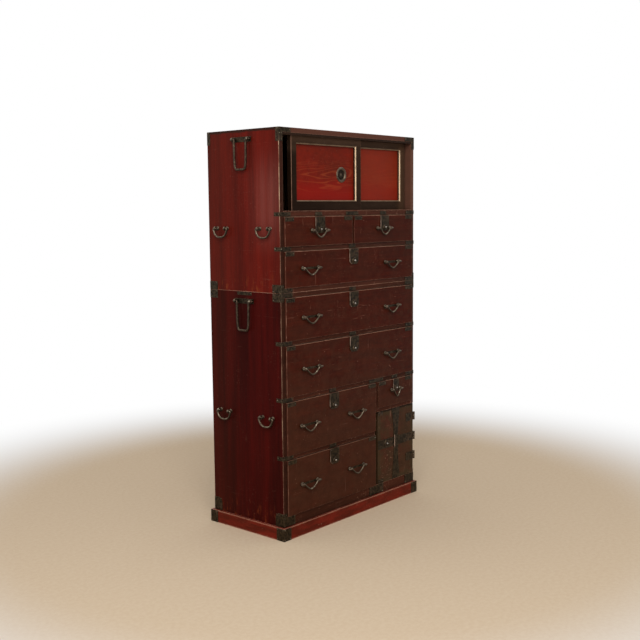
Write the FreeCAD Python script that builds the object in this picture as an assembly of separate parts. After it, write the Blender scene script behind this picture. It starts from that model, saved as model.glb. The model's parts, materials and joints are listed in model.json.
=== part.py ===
import FreeCAD, Part
import math
import os

os.makedirs("parts", exist_ok=True)
V = FreeCAD.Vector

# Case sizes in millimetres; x from the middle, y back from the case front, z up from the floor
CASE_W = 910.0
CASE_D = 416.0
SIDE_T = 20.0
TOP_T = 20.0
UPPER_FLOOR_T = 20.0
LOWER_TOP_T = 18.0
RAIL_T = 18.0
FACE_T = 18.0
FLOOR_T = 16.0
BACK_T = 10.0
BACK_BOARDS = 4

# Plinth under the lower chest
PLINTH_H = 54.0
PLINTH_LIP = 12.0
PLINTH_T = 34.0

# Heights of the openings, from the floor up
SKIRT_H = 44.0
DRAWER_F_H = 238.0
DRAWER_E_H = 225.0
DRAWER_D_H = 215.0
DRAWER_C_H = 179.0
DRAWER_B_H = 149.5
DRAWER_A_H = 122.0
DOORWAY_H = 315.5
SAFE_H = 340.0

# Partition of the lower chest and divider of the upper small drawers
PARTITION_X = 157.0
PARTITION_T = 20.0
DIVIDER_T = 14.0

# Drawer boards and running clearances
DRAWER_SIDE_T = 10.0
DRAWER_FLOOR_T = 8.0
DRAWER_SIDE_DROP = 12.0
DRAWER_BACK_GAP = 12.0
DRAWER_PROUD = 7.0
SIDE_GAP = 1.0
TOP_GAP = 2.0
RUN_GAP = 0.3

# Sliding doors and their tracks
DOOR_T = 20.0
DOOR_LAP = 30.0
DOOR_AJAR = 66.0
STILE_W = 36.0
TOP_RAIL_W = 36.0
FOOT_RAIL_W = 46.0
DOOR_BEVEL = 4.0
PANEL_DEPTH = 13.0
PANEL_T = 5.0
TRACK_FRONT = 15.0
TRACK_RIB = 2.4
TRACK_REAR = 10.0
TRACK_FOOT_H = 4.0
TRACK_HEAD_H = 9.0
LIFT_GAP = 5.0
PULL_INSET = 118.0
PULL_INSET_RIGHT = 80.0
PULL_R = 34.0
PULL_CUP_R = 25.0
PULL_FLOOR_T = 1.2
PULL_RIM_T = 3.0

# Hinged safe door
SAFE_EDGE_GAP = 1.0
SAFE_TOP_GAP = 2.0
SAFE_LATCH_GAP = 2.0
HINGE_H = 38.0
HINGE_LEAF_W = 58.0
HINGE_SIDE_W = 34.0
KNUCKLE_R = 5.5
PIN_R = 2.4
PIN_FIT = 0.1
KNUCKLE_GAP = 0.5
HINGE_HEAD = 62.0
HINGE_FOOT = 85.0
SAFE_LATCH_H = 42.0
VASE_END_W = 62.0
VASE_WAIST_W = 30.0
SAFE_BOSS_IN = 66.0
SAFE_BOSS_R = 16.0
HASP_W = 26.0
HASP_H = 60.0
HASP_T = 5.0
SAFE_CORNER_W = 38.0

# Sheet iron
IRON_T = 1.5
IRON_EDGE = 1.0
STRAP_FRONT_W = 62.0
STRAP_SIDE_W = 32.0
CORNER_FRONT_W = 68.0
CORNER_SIDE_W = 46.0
TOP_CORNER_W = 18.0
CORNER_H = 35.0
FOOT_CORNER_H = 58.0
FOOT_CLIP = 14.0
PLINTH_IRON_W = 42.0
DRAWER_CORNER_W = 52.0
DRAWER_CORNER_H = 17.0
MIDDLE_PLATE_W = 84.0
PARTITION_PLATE_W = 104.0

# Locks
LOCK_W = 58.0
LOCK_W_LOW = 40.0
LOCK_H = 67.0
LOCK_H_LOW = 56.0
LOCK_T = 5.0
LOCK_CLIP = 11.0
LOCK_BOSS_R = 12.0
LOCK_BOSS_T = 3.0
LOCK_PIN_R = 4.0
LOCK_PIN_T = 3.5
LOCK_FOOT = 15.0
STAPLE_W = 44.0

# Drawer handles: bracken bails in eye posts
HANDLE_SPAN = 96.0
HANDLE_SPAN_SMALL = 88.0
HANDLE_SPAN_LOW = 62.0
HANDLE_DROP = 28.0
HANDLE_DROP_LOW = 32.0
HANDLE_R = 3.4
HANDLE_TIP = 16.0
HANDLE_TIP_R = 4.4
HANDLE_OUT = 11.0
HANDLE_EYE_R = 6.4
HANDLE_EYE_W = 8.0
HANDLE_RISE = 1.0
HANDLE_RISE_LOW = 10.0
HANDLE_SHIFT = -5.0
HANDLE_SHARE_WIDE = 0.32
HANDLE_SHARE_LEFT = 0.265
HANDLE_PLATE_H = 9.0
WASHER_R = 9.0
SHANK_R = 3.6

# Side handles and carrying bails
SIDE_SPAN = 58.0
SIDE_DROP = 37.0
SIDE_R = 4.2
SIDE_OUT = 15.0
SIDE_EYE_R = 8.5
SIDE_EYE_W = 7.0
SIDE_INSET = 83.0
SIDE_Z_UPPER = 1287.0
SIDE_Z_LOWER = 508.0
CARRY_SPAN = 89.0
CARRY_ARM = 34.0
CARRY_DROP = 122.0
CARRY_R = 4.8
CARRY_TIP = 11.0
CARRY_OUT = 12.5
CARRY_EYE_R = 8.0
CARRY_EYE_W = 9.0
CARRY_BAR_W = 106.0
CARRY_BAR_H = 20.0
CARRY_BAR_T = 3.0
CARRY_BELOW = 40.0
CARRY_PLATE_W = 84.0
CARRY_PLATE_H = 13.0
CARRY_PLATE_BELOW = 2.0
EYE_FIT = 0.3
NECK_SPARE = 2.5
FACETS = 8
ARC_STEPS = 6

# Levels that follow from the heights
HALF = CASE_W / 2
INNER = HALF - SIDE_T
FLOOR_Z = PLINTH_H + SKIRT_H
RAIL_F_Z = FLOOR_Z + DRAWER_F_H
DRAWER_E_Z = RAIL_F_Z + RAIL_T
SHELF_E_Z = DRAWER_E_Z + DRAWER_E_H
DRAWER_D_Z = SHELF_E_Z + RAIL_T
SHELF_D_Z = DRAWER_D_Z + DRAWER_D_H
DRAWER_C_Z = SHELF_D_Z + RAIL_T
LOWER_TOP_Z = DRAWER_C_Z + DRAWER_C_H
SEAM_Z = LOWER_TOP_Z + LOWER_TOP_T
DRAWER_B_Z = SEAM_Z + UPPER_FLOOR_T
SHELF_B_Z = DRAWER_B_Z + DRAWER_B_H
DRAWER_A_Z = SHELF_B_Z + RAIL_T
SHELF_A_Z = DRAWER_A_Z + DRAWER_A_H
DOORWAY_Z = SHELF_A_Z + RAIL_T
TOP_Z = DOORWAY_Z + DOORWAY_H
CASE_TOP_Z = TOP_Z + TOP_T
SAFE_RAIL_Z = FLOOR_Z + SAFE_H
DRAWER_G_Z = SAFE_RAIL_Z + RAIL_T
PARTITION_END = PARTITION_X + PARTITION_T
INNER_D = CASE_D - BACK_T
HANDLE_SEAT = -IRON_T

# The whole part stands with the middle of its depth at y = 0
FRONT_REACH = DRAWER_PROUD + HANDLE_OUT + HANDLE_EYE_R * math.cos(math.pi / FACETS)
BACK_REACH = PLINTH_LIP + IRON_T
FRONT = (FRONT_REACH - CASE_D - BACK_REACH) / 2


def block(x0, x1, y0, y1, z0, z1):
    """Board or plate between two corners"""
    return Part.makeBox(x1 - x0, y1 - y0, z1 - z0, V(x0, y0, z0))


def outline(points, y0, y1):
    """Closed outline of (x, z) points, carried from y0 back to y1"""
    corners = [V(x, y0, z) for i, (x, z) in enumerate(points) if (x, z) != points[i - 1]]
    return Part.Face(Part.makePolygon(corners + corners[:1])).extrude(V(0, y1 - y0, 0))


def ring_points(centre, across, along, radius, count):
    """Corners of a regular ring round a centre, in the plane of two directions"""
    turns = [2 * math.pi * (i + 0.5) / count for i in range(count)]
    return [centre + across * (radius * math.cos(a)) + along * (radius * math.sin(a)) for a in turns]


def bar(start, end, radius, count=FACETS):
    """Faceted straight bar between two points"""
    run = end - start
    spare = V(0, 0, 1) if abs(run.z) < run.Length / 2 else V(1, 0, 0)
    across = run.cross(spare).normalize()
    along = run.cross(across).normalize()
    ring = ring_points(start, across, along, radius, count)
    return Part.Face(Part.makePolygon(ring + ring[:1])).extrude(run)


def skin(rings):
    """Solid with flat faces through rings of as many corners each"""
    flats = [rings[0], rings[-1]]
    for near, far in zip(rings, rings[1:]):
        flats += [[near[i - 1], near[i], far[i], far[i - 1]] for i in range(len(near))]
    shell = Part.Shell([Part.Face(Part.makePolygon(flat + flat[:1])) for flat in flats])
    solid = Part.Solid(shell)
    if solid.Volume < 0:
        solid.reverse()
    return solid


def turned(x, z, profile):
    """Faceted turned form round a line through (x, z), from (radius, y) pairs"""
    return skin([ring_points(V(x, y, z), V(1, 0, 0), V(0, 0, 1), radius, 2 * FACETS)
                 for radius, y in profile])


def rod(points, radii):
    """Faceted rod through (x, z) points in the plane y = 0, mitred at each bend"""
    rings = []
    places = [V(x, 0, z) for x, z in points]
    for i, place in enumerate(places):
        before = (place - places[i - 1]) if i else places[1] - place
        after = (places[i + 1] - place) if i + 1 < len(places) else place - places[i - 1]
        before.normalize()
        after.normalize()
        ahead = (before + after).normalize()
        across = V(-ahead.z, 0, ahead.x) * (1 / ahead.dot(after))
        rings.append(ring_points(place, across, V(0, 1, 0), radii[i], FACETS))
    return skin(rings)


def mirrored(points):
    """Full run of points from those of the right half, given from the tip to the middle"""
    return [(-x, z) for x, z in points] + [(x, z) for x, z in reversed(points[:-1])]


def bracken_bail(span, drop):
    """Sagging drawer bail with swollen tips outside its eyes"""
    eye = span / 2
    neck = HANDLE_EYE_W / 2 + NECK_SPARE
    start = eye - neck
    half = [(eye + HANDLE_TIP, 0.0), (eye + HANDLE_TIP * 0.6, 0.0), (eye + neck, 0.0)]
    radii = [HANDLE_TIP_R * 0.6, HANDLE_TIP_R, HANDLE_R]
    for i in range(ARC_STEPS // 2 + 1):
        share = math.cos(math.pi / 2 * i / (ARC_STEPS // 2))
        half.append((start * share, -drop * (1 - share ** 1.7)))
        radii.append(HANDLE_R)
    return rod(mirrored(half), radii + radii[-2::-1])


def side_bail():
    """C-shaped side handle that bulges past its eyes"""
    neck = SIDE_EYE_W / 2 + NECK_SPARE
    arm = SIDE_SPAN / 2 + neck + SIDE_R
    half = [(SIDE_SPAN / 2 - neck, 0.0), (arm, 0.0)]
    for i in range(1, ARC_STEPS // 2 + 2):
        angle = math.pi / 2 * (i / (ARC_STEPS // 2 + 1))
        half.append((arm * max(math.cos(angle), 0.0) ** 0.8, -SIDE_DROP * math.sin(angle)))
    return rod(mirrored(half), [SIDE_R] * (2 * len(half) - 1))


def carry_bail():
    """U-shaped carrying bail with pins that point outward through its eyes"""
    neck = CARRY_EYE_W / 2 + NECK_SPARE
    half = [(CARRY_SPAN / 2 + CARRY_TIP, 0.0), (CARRY_SPAN / 2 + neck, 0.0), (CARRY_ARM, 0.0)]
    for i in range(1, ARC_STEPS // 2 + 2):
        angle = math.pi / 2 * (0.3 + 0.7 * i / (ARC_STEPS // 2 + 1))
        half.append((CARRY_ARM * max(math.cos(angle), 0.0) ** 0.22, -CARRY_DROP * math.sin(angle) ** 0.7))
    return rod(mirrored(half), [CARRY_R] * (2 * len(half) - 1))


def clear_round(radius):
    """Corner radius of a faceted bore whose flats stand clear of a radius"""
    return radius / math.cos(math.pi / FACETS)


def eye_post(x, z, seat, out, eye_r, eye_w, neck_r):
    """Eye bolt from its seat to an eye bored along x"""
    left = V(x - eye_w / 2, -out, z)
    right = V(x + eye_w / 2, -out, z)
    post = bar(left, right, eye_r).fuse(bar(V(x, seat, z), V(x, -out, z), SHANK_R, 4))
    return post.cut(bar(left, right, clear_round(neck_r + EYE_FIT)))


def clipped(x0, x1, z0, z1, y0, y1, clip):
    """Plate with both lower corners clipped"""
    points = [(x0, z1), (x0, z0 + clip), (x0 + clip, z0), (x1 - clip, z0), (x1, z0 + clip), (x1, z1)]
    return outline(points, y0, y1)


def front_iron(x0, x1, z0, z1):
    """Sheet iron on the case front"""
    return block(x0, x1, -IRON_T, 0, z0, z1)


def side_iron(side, y0, y1, z0, z1, lip=0.0):
    """Sheet iron on a side face; side is -1 for the left"""
    inner = side * (HALF + lip)
    outer = inner + side * IRON_T
    return block(min(inner, outer), max(inner, outer), y0, y1, z0, z1)


def edge_iron(side, width, z0, z1):
    """Front iron that reaches round to the outer face of its side iron"""
    outer = side * (HALF + IRON_T)
    inner = side * (HALF - width)
    return front_iron(min(inner, outer), max(inner, outer), z0, z1)


def on_side(shape, side, y, z):
    """Set a shape drawn for the front on a case side, at depth y and height z"""
    placed = shape.copy()
    placed.rotate(V(0, 0, 0), V(0, 0, 1), 90 * side)
    placed.translate(V(side * HALF, y, z))
    return placed


def back_boards(z0, z1):
    """Back of equal vertical boards between the sides"""
    step = 2 * INNER / BACK_BOARDS
    edges = [-INNER + step * i for i in range(BACK_BOARDS)]
    return [block(x, x + step, INNER_D, CASE_D, z0, z1) for x in edges]


def save(name, solids, proud=0.0):
    """Write the solids of one node, moved to the part's own frame and out from the case edges"""
    group = Part.makeCompound(solids)
    group.translate(V(0, FRONT - proud, 0))
    group.exportStep("parts/" + name + ".step")


# Plinth: long boards front and back, short ones between
plinth_w = HALF + PLINTH_LIP
plinth_back = CASE_D + PLINTH_LIP
plinth = [block(-plinth_w, plinth_w, -PLINTH_LIP, PLINTH_T - PLINTH_LIP, 0, PLINTH_H),
          block(-plinth_w, plinth_w, plinth_back - PLINTH_T, plinth_back, 0, PLINTH_H)]
for side in (-1, 1):
    ends = sorted((side * plinth_w, side * (plinth_w - PLINTH_T)))
    plinth.append(block(ends[0], ends[1], PLINTH_T - PLINTH_LIP, plinth_back - PLINTH_T, 0, PLINTH_H))
save("base_plinth", plinth)

# Lower sides: boards behind front edge strips; the right strip makes way for the safe door
lower_sides = [block(-HALF, -INNER, FACE_T, CASE_D, PLINTH_H, SEAM_Z),
               block(-HALF, -INNER, 0, FACE_T, PLINTH_H, SEAM_Z),
               block(INNER, HALF, FACE_T, CASE_D, PLINTH_H, SEAM_Z),
               block(INNER, HALF, 0, FACE_T, PLINTH_H, FLOOR_Z),
               block(INNER, HALF, 0, FACE_T, SAFE_RAIL_Z, SEAM_Z)]
save("lower_sides", lower_sides)

# Lower top, raised floor and the deep rail in front of it
lower_boards = [block(-INNER, INNER, 0, INNER_D, LOWER_TOP_Z, SEAM_Z),
                block(-INNER, INNER, FACE_T, INNER_D, FLOOR_Z - FLOOR_T, FLOOR_Z),
                block(-INNER, INNER, 0, FACE_T, PLINTH_H, FLOOR_Z)]
save("lower_boards", lower_boards)
save("lower_back", back_boards(PLINTH_H, SEAM_Z))

# Lower dust boards and the partition, whose front edge strip stops above the safe door
lower_shelves = [block(-INNER, INNER, 0, INNER_D, SHELF_D_Z, DRAWER_C_Z),
                 block(-INNER, INNER, 0, INNER_D, SHELF_E_Z, DRAWER_D_Z),
                 block(-INNER, PARTITION_X, 0, INNER_D, RAIL_F_Z, DRAWER_E_Z),
                 block(PARTITION_END, INNER, 0, INNER_D, SAFE_RAIL_Z, DRAWER_G_Z),
                 block(PARTITION_X, PARTITION_END, FACE_T, INNER_D, FLOOR_Z, SHELF_E_Z),
                 block(PARTITION_X, PARTITION_END, 0, FACE_T, SAFE_RAIL_Z, SHELF_E_Z)]
save("lower_shelves", lower_shelves)

# Upper case
save("upper_sides", [block(-HALF, -INNER, 0, CASE_D, SEAM_Z, CASE_TOP_Z),
                     block(INNER, HALF, 0, CASE_D, SEAM_Z, CASE_TOP_Z)])
save("upper_boards", [block(-INNER, INNER, 0, INNER_D, SEAM_Z, DRAWER_B_Z),
                      block(-INNER, INNER, 0, INNER_D, TOP_Z, CASE_TOP_Z)])
save("upper_back", back_boards(SEAM_Z, CASE_TOP_Z))

# Upper dust boards, divider and the track strips of the sliding doors
front_door_y = TRACK_FRONT + RUN_GAP
rear_door_y = front_door_y + DOOR_T + 2 * RUN_GAP + TRACK_RIB
rib_y = front_door_y + DOOR_T + RUN_GAP
rear_y = rear_door_y + DOOR_T + RUN_GAP
upper_shelves = [block(-INNER, INNER, 0, INNER_D, SHELF_B_Z, DRAWER_A_Z),
                 block(-INNER, INNER, 0, INNER_D, SHELF_A_Z, DOORWAY_Z),
                 block(-DIVIDER_T / 2, DIVIDER_T / 2, 0, INNER_D, DRAWER_A_Z, SHELF_A_Z)]
for y0, depth in ((0, TRACK_FRONT), (rib_y, TRACK_RIB), (rear_y, TRACK_REAR)):
    upper_shelves.append(block(-INNER, INNER, y0, y0 + depth, DOORWAY_Z, DOORWAY_Z + TRACK_FOOT_H))
    upper_shelves.append(block(-INNER, INNER, y0, y0 + depth, TOP_Z - TRACK_HEAD_H, TOP_Z))
save("upper_shelves", upper_shelves)

# Sliding doors: members mitred from the inner corners, with a bevel round the panel
DOOR_W = INNER + DOOR_LAP / 2
door_z0 = DOORWAY_Z + RUN_GAP
door_z1 = TOP_Z - LIFT_GAP


def beveled(points, y, start, end, inward):
    """Door member with the front arris from start to end taken off toward its own wood"""
    stock = outline(points, y, y + DOOR_T)
    arris = V(start[0], y, start[1])
    run = V(end[0] - start[0], 0, end[1] - start[1])
    spare = V(run).normalize() * DOOR_BEVEL
    corners = [arris, arris + V(inward[0], 0, inward[1]) * DOOR_BEVEL, arris + V(0, DOOR_BEVEL, 0)]
    wedge = Part.Face(Part.makePolygon(corners + corners[:1])).extrude(run + spare * 2)
    wedge.translate(spare * -1)
    return stock.cut(wedge)


def door_frame(x0, y):
    """Two stiles and two rails of a door whose left edge is x0 and whose face is y"""
    x1 = x0 + DOOR_W
    left = x0 + STILE_W
    right = x1 - STILE_W
    foot = door_z0 + FOOT_RAIL_W
    head = door_z1 - TOP_RAIL_W
    low = min(STILE_W, FOOT_RAIL_W)
    high = min(STILE_W, TOP_RAIL_W)
    stile_l = [(x0, foot - low), (left - low, foot - low), (left, foot), (left, head),
               (left - high, head + high), (x0, head + high)]
    stile_r = [(x1, head + high), (right + high, head + high), (right, head), (right, foot),
               (right + low, foot - low), (x1, foot - low)]
    rail_foot = [(left - low, door_z0), (right + low, door_z0), (right + low, foot - low), (right, foot),
                 (left, foot), (left - low, foot - low)]
    rail_head = [(left - high, head + high), (left, head), (right, head), (right + high, head + high),
                 (right + high, door_z1), (left - high, door_z1)]
    return [beveled(stile_l, y, (left, foot), (left, head), (-1, 0)),
            beveled(stile_r, y, (right, foot), (right, head), (1, 0)),
            beveled(rail_foot, y, (left, foot), (right, foot), (0, -1)),
            beveled(rail_head, y, (left, head), (right, head), (0, 1))]


def door_panel(x0, y, pull_x):
    """Panel between the frame members, bored for the cup of its pull"""
    sheet = block(x0 + STILE_W, x0 + DOOR_W - STILE_W, y + PANEL_DEPTH, y + PANEL_DEPTH + PANEL_T,
                  door_z0 + FOOT_RAIL_W, door_z1 - TOP_RAIL_W)
    face = y + PANEL_DEPTH
    return sheet.cut(turned(pull_x, pull_z, [(PULL_CUP_R, face), (PULL_CUP_R, face + PANEL_T)]))


def door_pull(pull_x, y):
    """Round pull: a sloped rim on the panel and a shallow cup through it"""
    face = y + PANEL_DEPTH
    floor = face + PANEL_T
    proud = face - PULL_RIM_T
    rim = turned(pull_x, pull_z, [(PULL_R - PULL_RIM_T, proud), (PULL_R, face)])
    cup = turned(pull_x, pull_z, [(PULL_CUP_R, face), (PULL_CUP_R, floor)])
    hollow = [(PULL_CUP_R, proud), (PULL_CUP_R - PULL_RIM_T, floor - PULL_FLOOR_T)]
    return rim.fuse(cup).cut(turned(pull_x, pull_z, hollow))


pull_z = (door_z0 + door_z1) / 2
left_door_x = -INNER + DOOR_AJAR
right_door_x = INNER - DOOR_W
for name, x0, y, pull_x in (("left_door", left_door_x, front_door_y, left_door_x + DOOR_W - PULL_INSET),
                            ("right_door", right_door_x, rear_door_y, right_door_x + PULL_INSET_RIGHT)):
    save(name + "_frame", door_frame(x0, y))
    save(name + "_panel", [door_panel(x0, y, pull_x)])
    save(name + "_pull", [door_pull(pull_x, y)])

# Safe door: lies over the right case edge and turns on pins outside the front corner
safe_x0 = PARTITION_END + SAFE_LATCH_GAP
safe_x1 = HALF - SAFE_EDGE_GAP
safe_z0 = FLOOR_Z + RUN_GAP
safe_z1 = SAFE_RAIL_Z - SAFE_TOP_GAP
hinge_x = HALF + KNUCKLE_R + KNUCKLE_GAP
hinge_low = safe_z0 + HINGE_FOOT
hinge_high = safe_z1 - HINGE_HEAD
hinge_zs = [hinge_low, (hinge_low + hinge_high) / 2, hinge_high]
save("safe_door", [block(safe_x0, safe_x1, 0, FACE_T, safe_z0, safe_z1)])


def vase_strap(x, z0, z1):
    """Upright strap, wide at both ends and drawn in at the middle"""
    middle = (z0 + z1) / 2
    right = []
    for i in range(2 * ARC_STEPS + 1):
        z = z0 + (z1 - z0) * i / (2 * ARC_STEPS)
        spread = abs((z - middle) / (z1 - middle)) ** 2
        right.append((x + (VASE_WAIST_W + (VASE_END_W - VASE_WAIST_W) * spread) / 2, z))
    return outline(right + [(2 * x - px, z) for px, z in reversed(right)], -IRON_T, 0)


def upright(radius, z0, z1):
    """Faceted upright on the hinge line"""
    return bar(V(hinge_x, 0, z0), V(hinge_x, 0, z1), radius)


def pin_bore(z0, z1):
    """Room for the pin, clear of its corners as the door turns"""
    return upright(clear_round(PIN_R + PIN_FIT), z0, z1)


def hinge_barrel(z0, z1):
    """Knuckle bored for the pin"""
    return upright(KNUCKLE_R, z0, z1).cut(pin_bore(z0, z1))


safe_mid = (safe_x0 + safe_x1) / 2
leaf_x = safe_x1 - HINGE_LEAF_W
cross = vase_strap(safe_mid, safe_z0 + IRON_EDGE, safe_z1 - IRON_EDGE)
latch_z = hinge_zs[1]
latch = front_iron(safe_x0 + IRON_EDGE, leaf_x, latch_z - SAFE_LATCH_H / 2, latch_z + SAFE_LATCH_H / 2)
boss_x = safe_x0 + SAFE_BOSS_IN
boss_y = -IRON_T - LOCK_BOSS_T
boss = bar(V(boss_x, -IRON_T, latch_z), V(boss_x, boss_y, latch_z), SAFE_BOSS_R, 2 * FACETS)
boss_pin = bar(V(boss_x, boss_y, latch_z), V(boss_x, boss_y - LOCK_PIN_T, latch_z), LOCK_PIN_R)
hasp = block(safe_mid - HASP_W / 2, safe_mid + HASP_W / 2, -IRON_T - HASP_T, -IRON_T,
             latch_z - HASP_H / 2, latch_z + HASP_H / 2)
safe_iron = [cross.fuse(latch).removeSplitter(), boss, boss_pin, hasp]
for z0 in (safe_z0 + IRON_EDGE, safe_z1 - IRON_EDGE - DRAWER_CORNER_H):
    edge = safe_x0 + IRON_EDGE
    safe_iron.append(front_iron(edge, edge + SAFE_CORNER_W, z0, z0 + DRAWER_CORNER_H))

# Hinges: the middle knuckle goes with the door, the outer ones and the pin with the case
fixed_hinges = []
third = (HINGE_H - 2 * KNUCKLE_GAP) / 3
for z in hinge_zs:
    low = z - HINGE_H / 2
    high = z + HINGE_H / 2
    mid_low = low + third + KNUCKLE_GAP
    mid_high = high - third - KNUCKLE_GAP
    leaf = front_iron(leaf_x, safe_x1, low, high)
    wrap = block(safe_x1, hinge_x, -IRON_T, 0, mid_low, mid_high).cut(pin_bore(mid_low, mid_high))
    safe_iron.append(leaf.fuse([wrap, hinge_barrel(mid_low, mid_high)]))
    fixed = side_iron(1, KNUCKLE_R + KNUCKLE_GAP, HINGE_SIDE_W, low, high)
    for z0 in (low, high - third):
        web = block(HALF, hinge_x, 0, KNUCKLE_R + KNUCKLE_GAP, z0, z0 + third)
        fixed = fixed.fuse([web, upright(KNUCKLE_R, z0, z0 + third)])
    fixed_hinges.append(fixed.fuse(upright(PIN_R, low, high)))
save("safe_door_iron", safe_iron)

# Drawers: opening edges, then the share of the width between the middle and each of two handles
drawers = {"a_left": (-INNER, -DIVIDER_T / 2, DRAWER_A_Z, SHELF_A_Z, 0.0),
           "a_right": (DIVIDER_T / 2, INNER, DRAWER_A_Z, SHELF_A_Z, 0.0),
           "b": (-INNER, INNER, DRAWER_B_Z, SHELF_B_Z, HANDLE_SHARE_WIDE),
           "c": (-INNER, INNER, DRAWER_C_Z, LOWER_TOP_Z, HANDLE_SHARE_WIDE),
           "d": (-INNER, INNER, DRAWER_D_Z, SHELF_D_Z, HANDLE_SHARE_WIDE),
           "e": (-INNER, PARTITION_X, DRAWER_E_Z, SHELF_E_Z, HANDLE_SHARE_LEFT),
           "f": (-INNER, PARTITION_X, FLOOR_Z, RAIL_F_Z, HANDLE_SHARE_LEFT),
           "g": (PARTITION_END, INNER, DRAWER_G_Z, SHELF_E_Z, 0.0)}
drawer_bails = {}
staples = {}


def drawer_box(x0, x1, z0, z1):
    """Front, two sides, back and floor of one drawer"""
    left = x0 + SIDE_GAP
    right = x1 - SIDE_GAP
    foot = z0 + RUN_GAP
    head = z1 - TOP_GAP
    wall = head - DRAWER_SIDE_DROP
    rear = INNER_D + DRAWER_PROUD - DRAWER_BACK_GAP
    floor = foot + DRAWER_FLOOR_T
    return [block(left, right, 0, FACE_T, foot, head),
            block(left, left + DRAWER_SIDE_T, FACE_T, rear, foot, wall),
            block(right - DRAWER_SIDE_T, right, FACE_T, rear, foot, wall),
            block(left + DRAWER_SIDE_T, right - DRAWER_SIDE_T, rear - DRAWER_SIDE_T, rear, foot, wall),
            block(left + DRAWER_SIDE_T, right - DRAWER_SIDE_T, FACE_T, rear - DRAWER_SIDE_T, foot, floor)]


def handle_seats(posts, z, joined):
    """Washers under two posts, joined by a slim plate where no lock is between them"""
    seats = [bar(V(post, 0, z), V(post, HANDLE_SEAT, z), WASHER_R) for post in posts]
    if not joined:
        return seats
    slim = block(posts[0], posts[1], HANDLE_SEAT, 0, z - HANDLE_PLATE_H / 2, z + HANDLE_PLATE_H / 2)
    return [slim.fuse(seats).removeSplitter()]


def drawer_iron(x0, x1, z0, z1, share, span, low):
    """Corner plates, lock and handle seats of one drawer, with the places of its bails"""
    left = x0 + SIDE_GAP + IRON_EDGE
    right = x1 - SIDE_GAP - IRON_EDGE
    head = z1 - TOP_GAP - IRON_EDGE
    middle = (x0 + x1) / 2
    lock_h = LOCK_H_LOW if low else LOCK_H
    lock_half = (LOCK_W_LOW if low else LOCK_W) / 2
    handle_z = (z0 + z1) / 2 + (HANDLE_RISE_LOW if low else HANDLE_RISE)
    lock_z = head - lock_h + LOCK_FOOT
    boss = -LOCK_T - LOCK_BOSS_T
    iron = [front_iron(left, left + DRAWER_CORNER_W, head - DRAWER_CORNER_H, head),
            front_iron(right - DRAWER_CORNER_W, right, head - DRAWER_CORNER_H, head),
            clipped(middle - lock_half, middle + lock_half, head - lock_h, head, -LOCK_T, 0, LOCK_CLIP),
            bar(V(middle, -LOCK_T, lock_z), V(middle, boss, lock_z), LOCK_BOSS_R, 2 * FACETS),
            bar(V(middle, boss, lock_z), V(middle, boss - LOCK_PIN_T, lock_z), LOCK_PIN_R)]
    offset = share * (x1 - x0)
    centre = middle if low else middle + HANDLE_SHIFT
    places = [centre - offset, centre + offset] if share else [centre]
    for x in places:
        posts = (x - span / 2, x + span / 2)
        iron += [eye_post(post, handle_z, HANDLE_SEAT, HANDLE_OUT, HANDLE_EYE_R, HANDLE_EYE_W, HANDLE_R)
                 for post in posts]
        iron += handle_seats(posts, handle_z, bool(share))
    return iron, [(x, handle_z) for x in places]


for name, (x0, x1, z0, z1, share) in drawers.items():
    low = name == "g"
    span = HANDLE_SPAN if share else HANDLE_SPAN_LOW if low else HANDLE_SPAN_SMALL
    iron, places = drawer_iron(x0, x1, z0, z1, share, span, low)
    save("drawer_" + name, drawer_box(x0, x1, z0, z1), DRAWER_PROUD)
    save("drawer_" + name + "_iron", iron, DRAWER_PROUD)
    staples[name] = ((x0 + x1) / 2, z1)
    for (x, z), end in zip(places, ("_left", "_right") if share else ("",)):
        drawer_bails["bail_" + name + end] = (x, z, span, HANDLE_DROP_LOW if low else HANDLE_DROP)
for name, (x, z, span, drop) in drawer_bails.items():
    loop = bracken_bail(span, drop)
    loop.translate(V(x, -HANDLE_OUT, z))
    save(name, [loop], DRAWER_PROUD)

# Side handles and carrying bails with the iron that holds them
mid_y = CASE_D / 2
side_bails = {}
carry_bails = {}
side_iron_parts = {"upper": [], "lower": []}
for part, side_z, top_z in (("upper", SIDE_Z_UPPER, CASE_TOP_Z), ("lower", SIDE_Z_LOWER, SEAM_Z)):
    for hand, side in (("left", -1), ("right", 1)):
        posts = []
        for end in (-1, 1):
            x = end * SIDE_SPAN / 2
            posts.append(eye_post(x, 0, 0, SIDE_OUT, SIDE_EYE_R, SIDE_EYE_W, SIDE_R))
        for place, y in (("front", SIDE_INSET), ("rear", CASE_D - SIDE_INSET)):
            side_iron_parts[part] += [on_side(post, side, y, side_z) for post in posts]
            name = "side_handle_" + part + "_" + hand + "_" + place
            side_bails[name] = (side, y, side_z)
            loop = side_bail()
            loop.translate(V(0, -SIDE_OUT, 0))
            save(name, [on_side(loop, side, y, side_z)])
        carry_z = top_z - CARRY_BELOW
        seat = block(-CARRY_BAR_W / 2, CARRY_BAR_W / 2, -CARRY_BAR_T, 0, -CARRY_BAR_H / 2, CARRY_BAR_H / 2)
        eyes = [eye_post(end * CARRY_SPAN / 2, 0, -CARRY_BAR_T, CARRY_OUT, CARRY_EYE_R, CARRY_EYE_W,
                         CARRY_R) for end in (-1, 1)]
        side_iron_parts[part] += [on_side(piece, side, mid_y, carry_z) for piece in [seat] + eyes]
        name = "carry_bail_" + part + "_" + hand
        carry_bails[name] = (side, mid_y, carry_z)
        loop = carry_bail()
        loop.translate(V(0, -CARRY_OUT, 0))
        save(name, [on_side(loop, side, mid_y, carry_z)])


def strap(side, z):
    """Iron strap on the end of a rail, round to the side"""
    return [edge_iron(side, STRAP_FRONT_W, z + IRON_EDGE, z + RAIL_T - IRON_EDGE),
            side_iron(side, 0, STRAP_SIDE_W, z + IRON_EDGE, z + RAIL_T - IRON_EDGE)]


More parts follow.
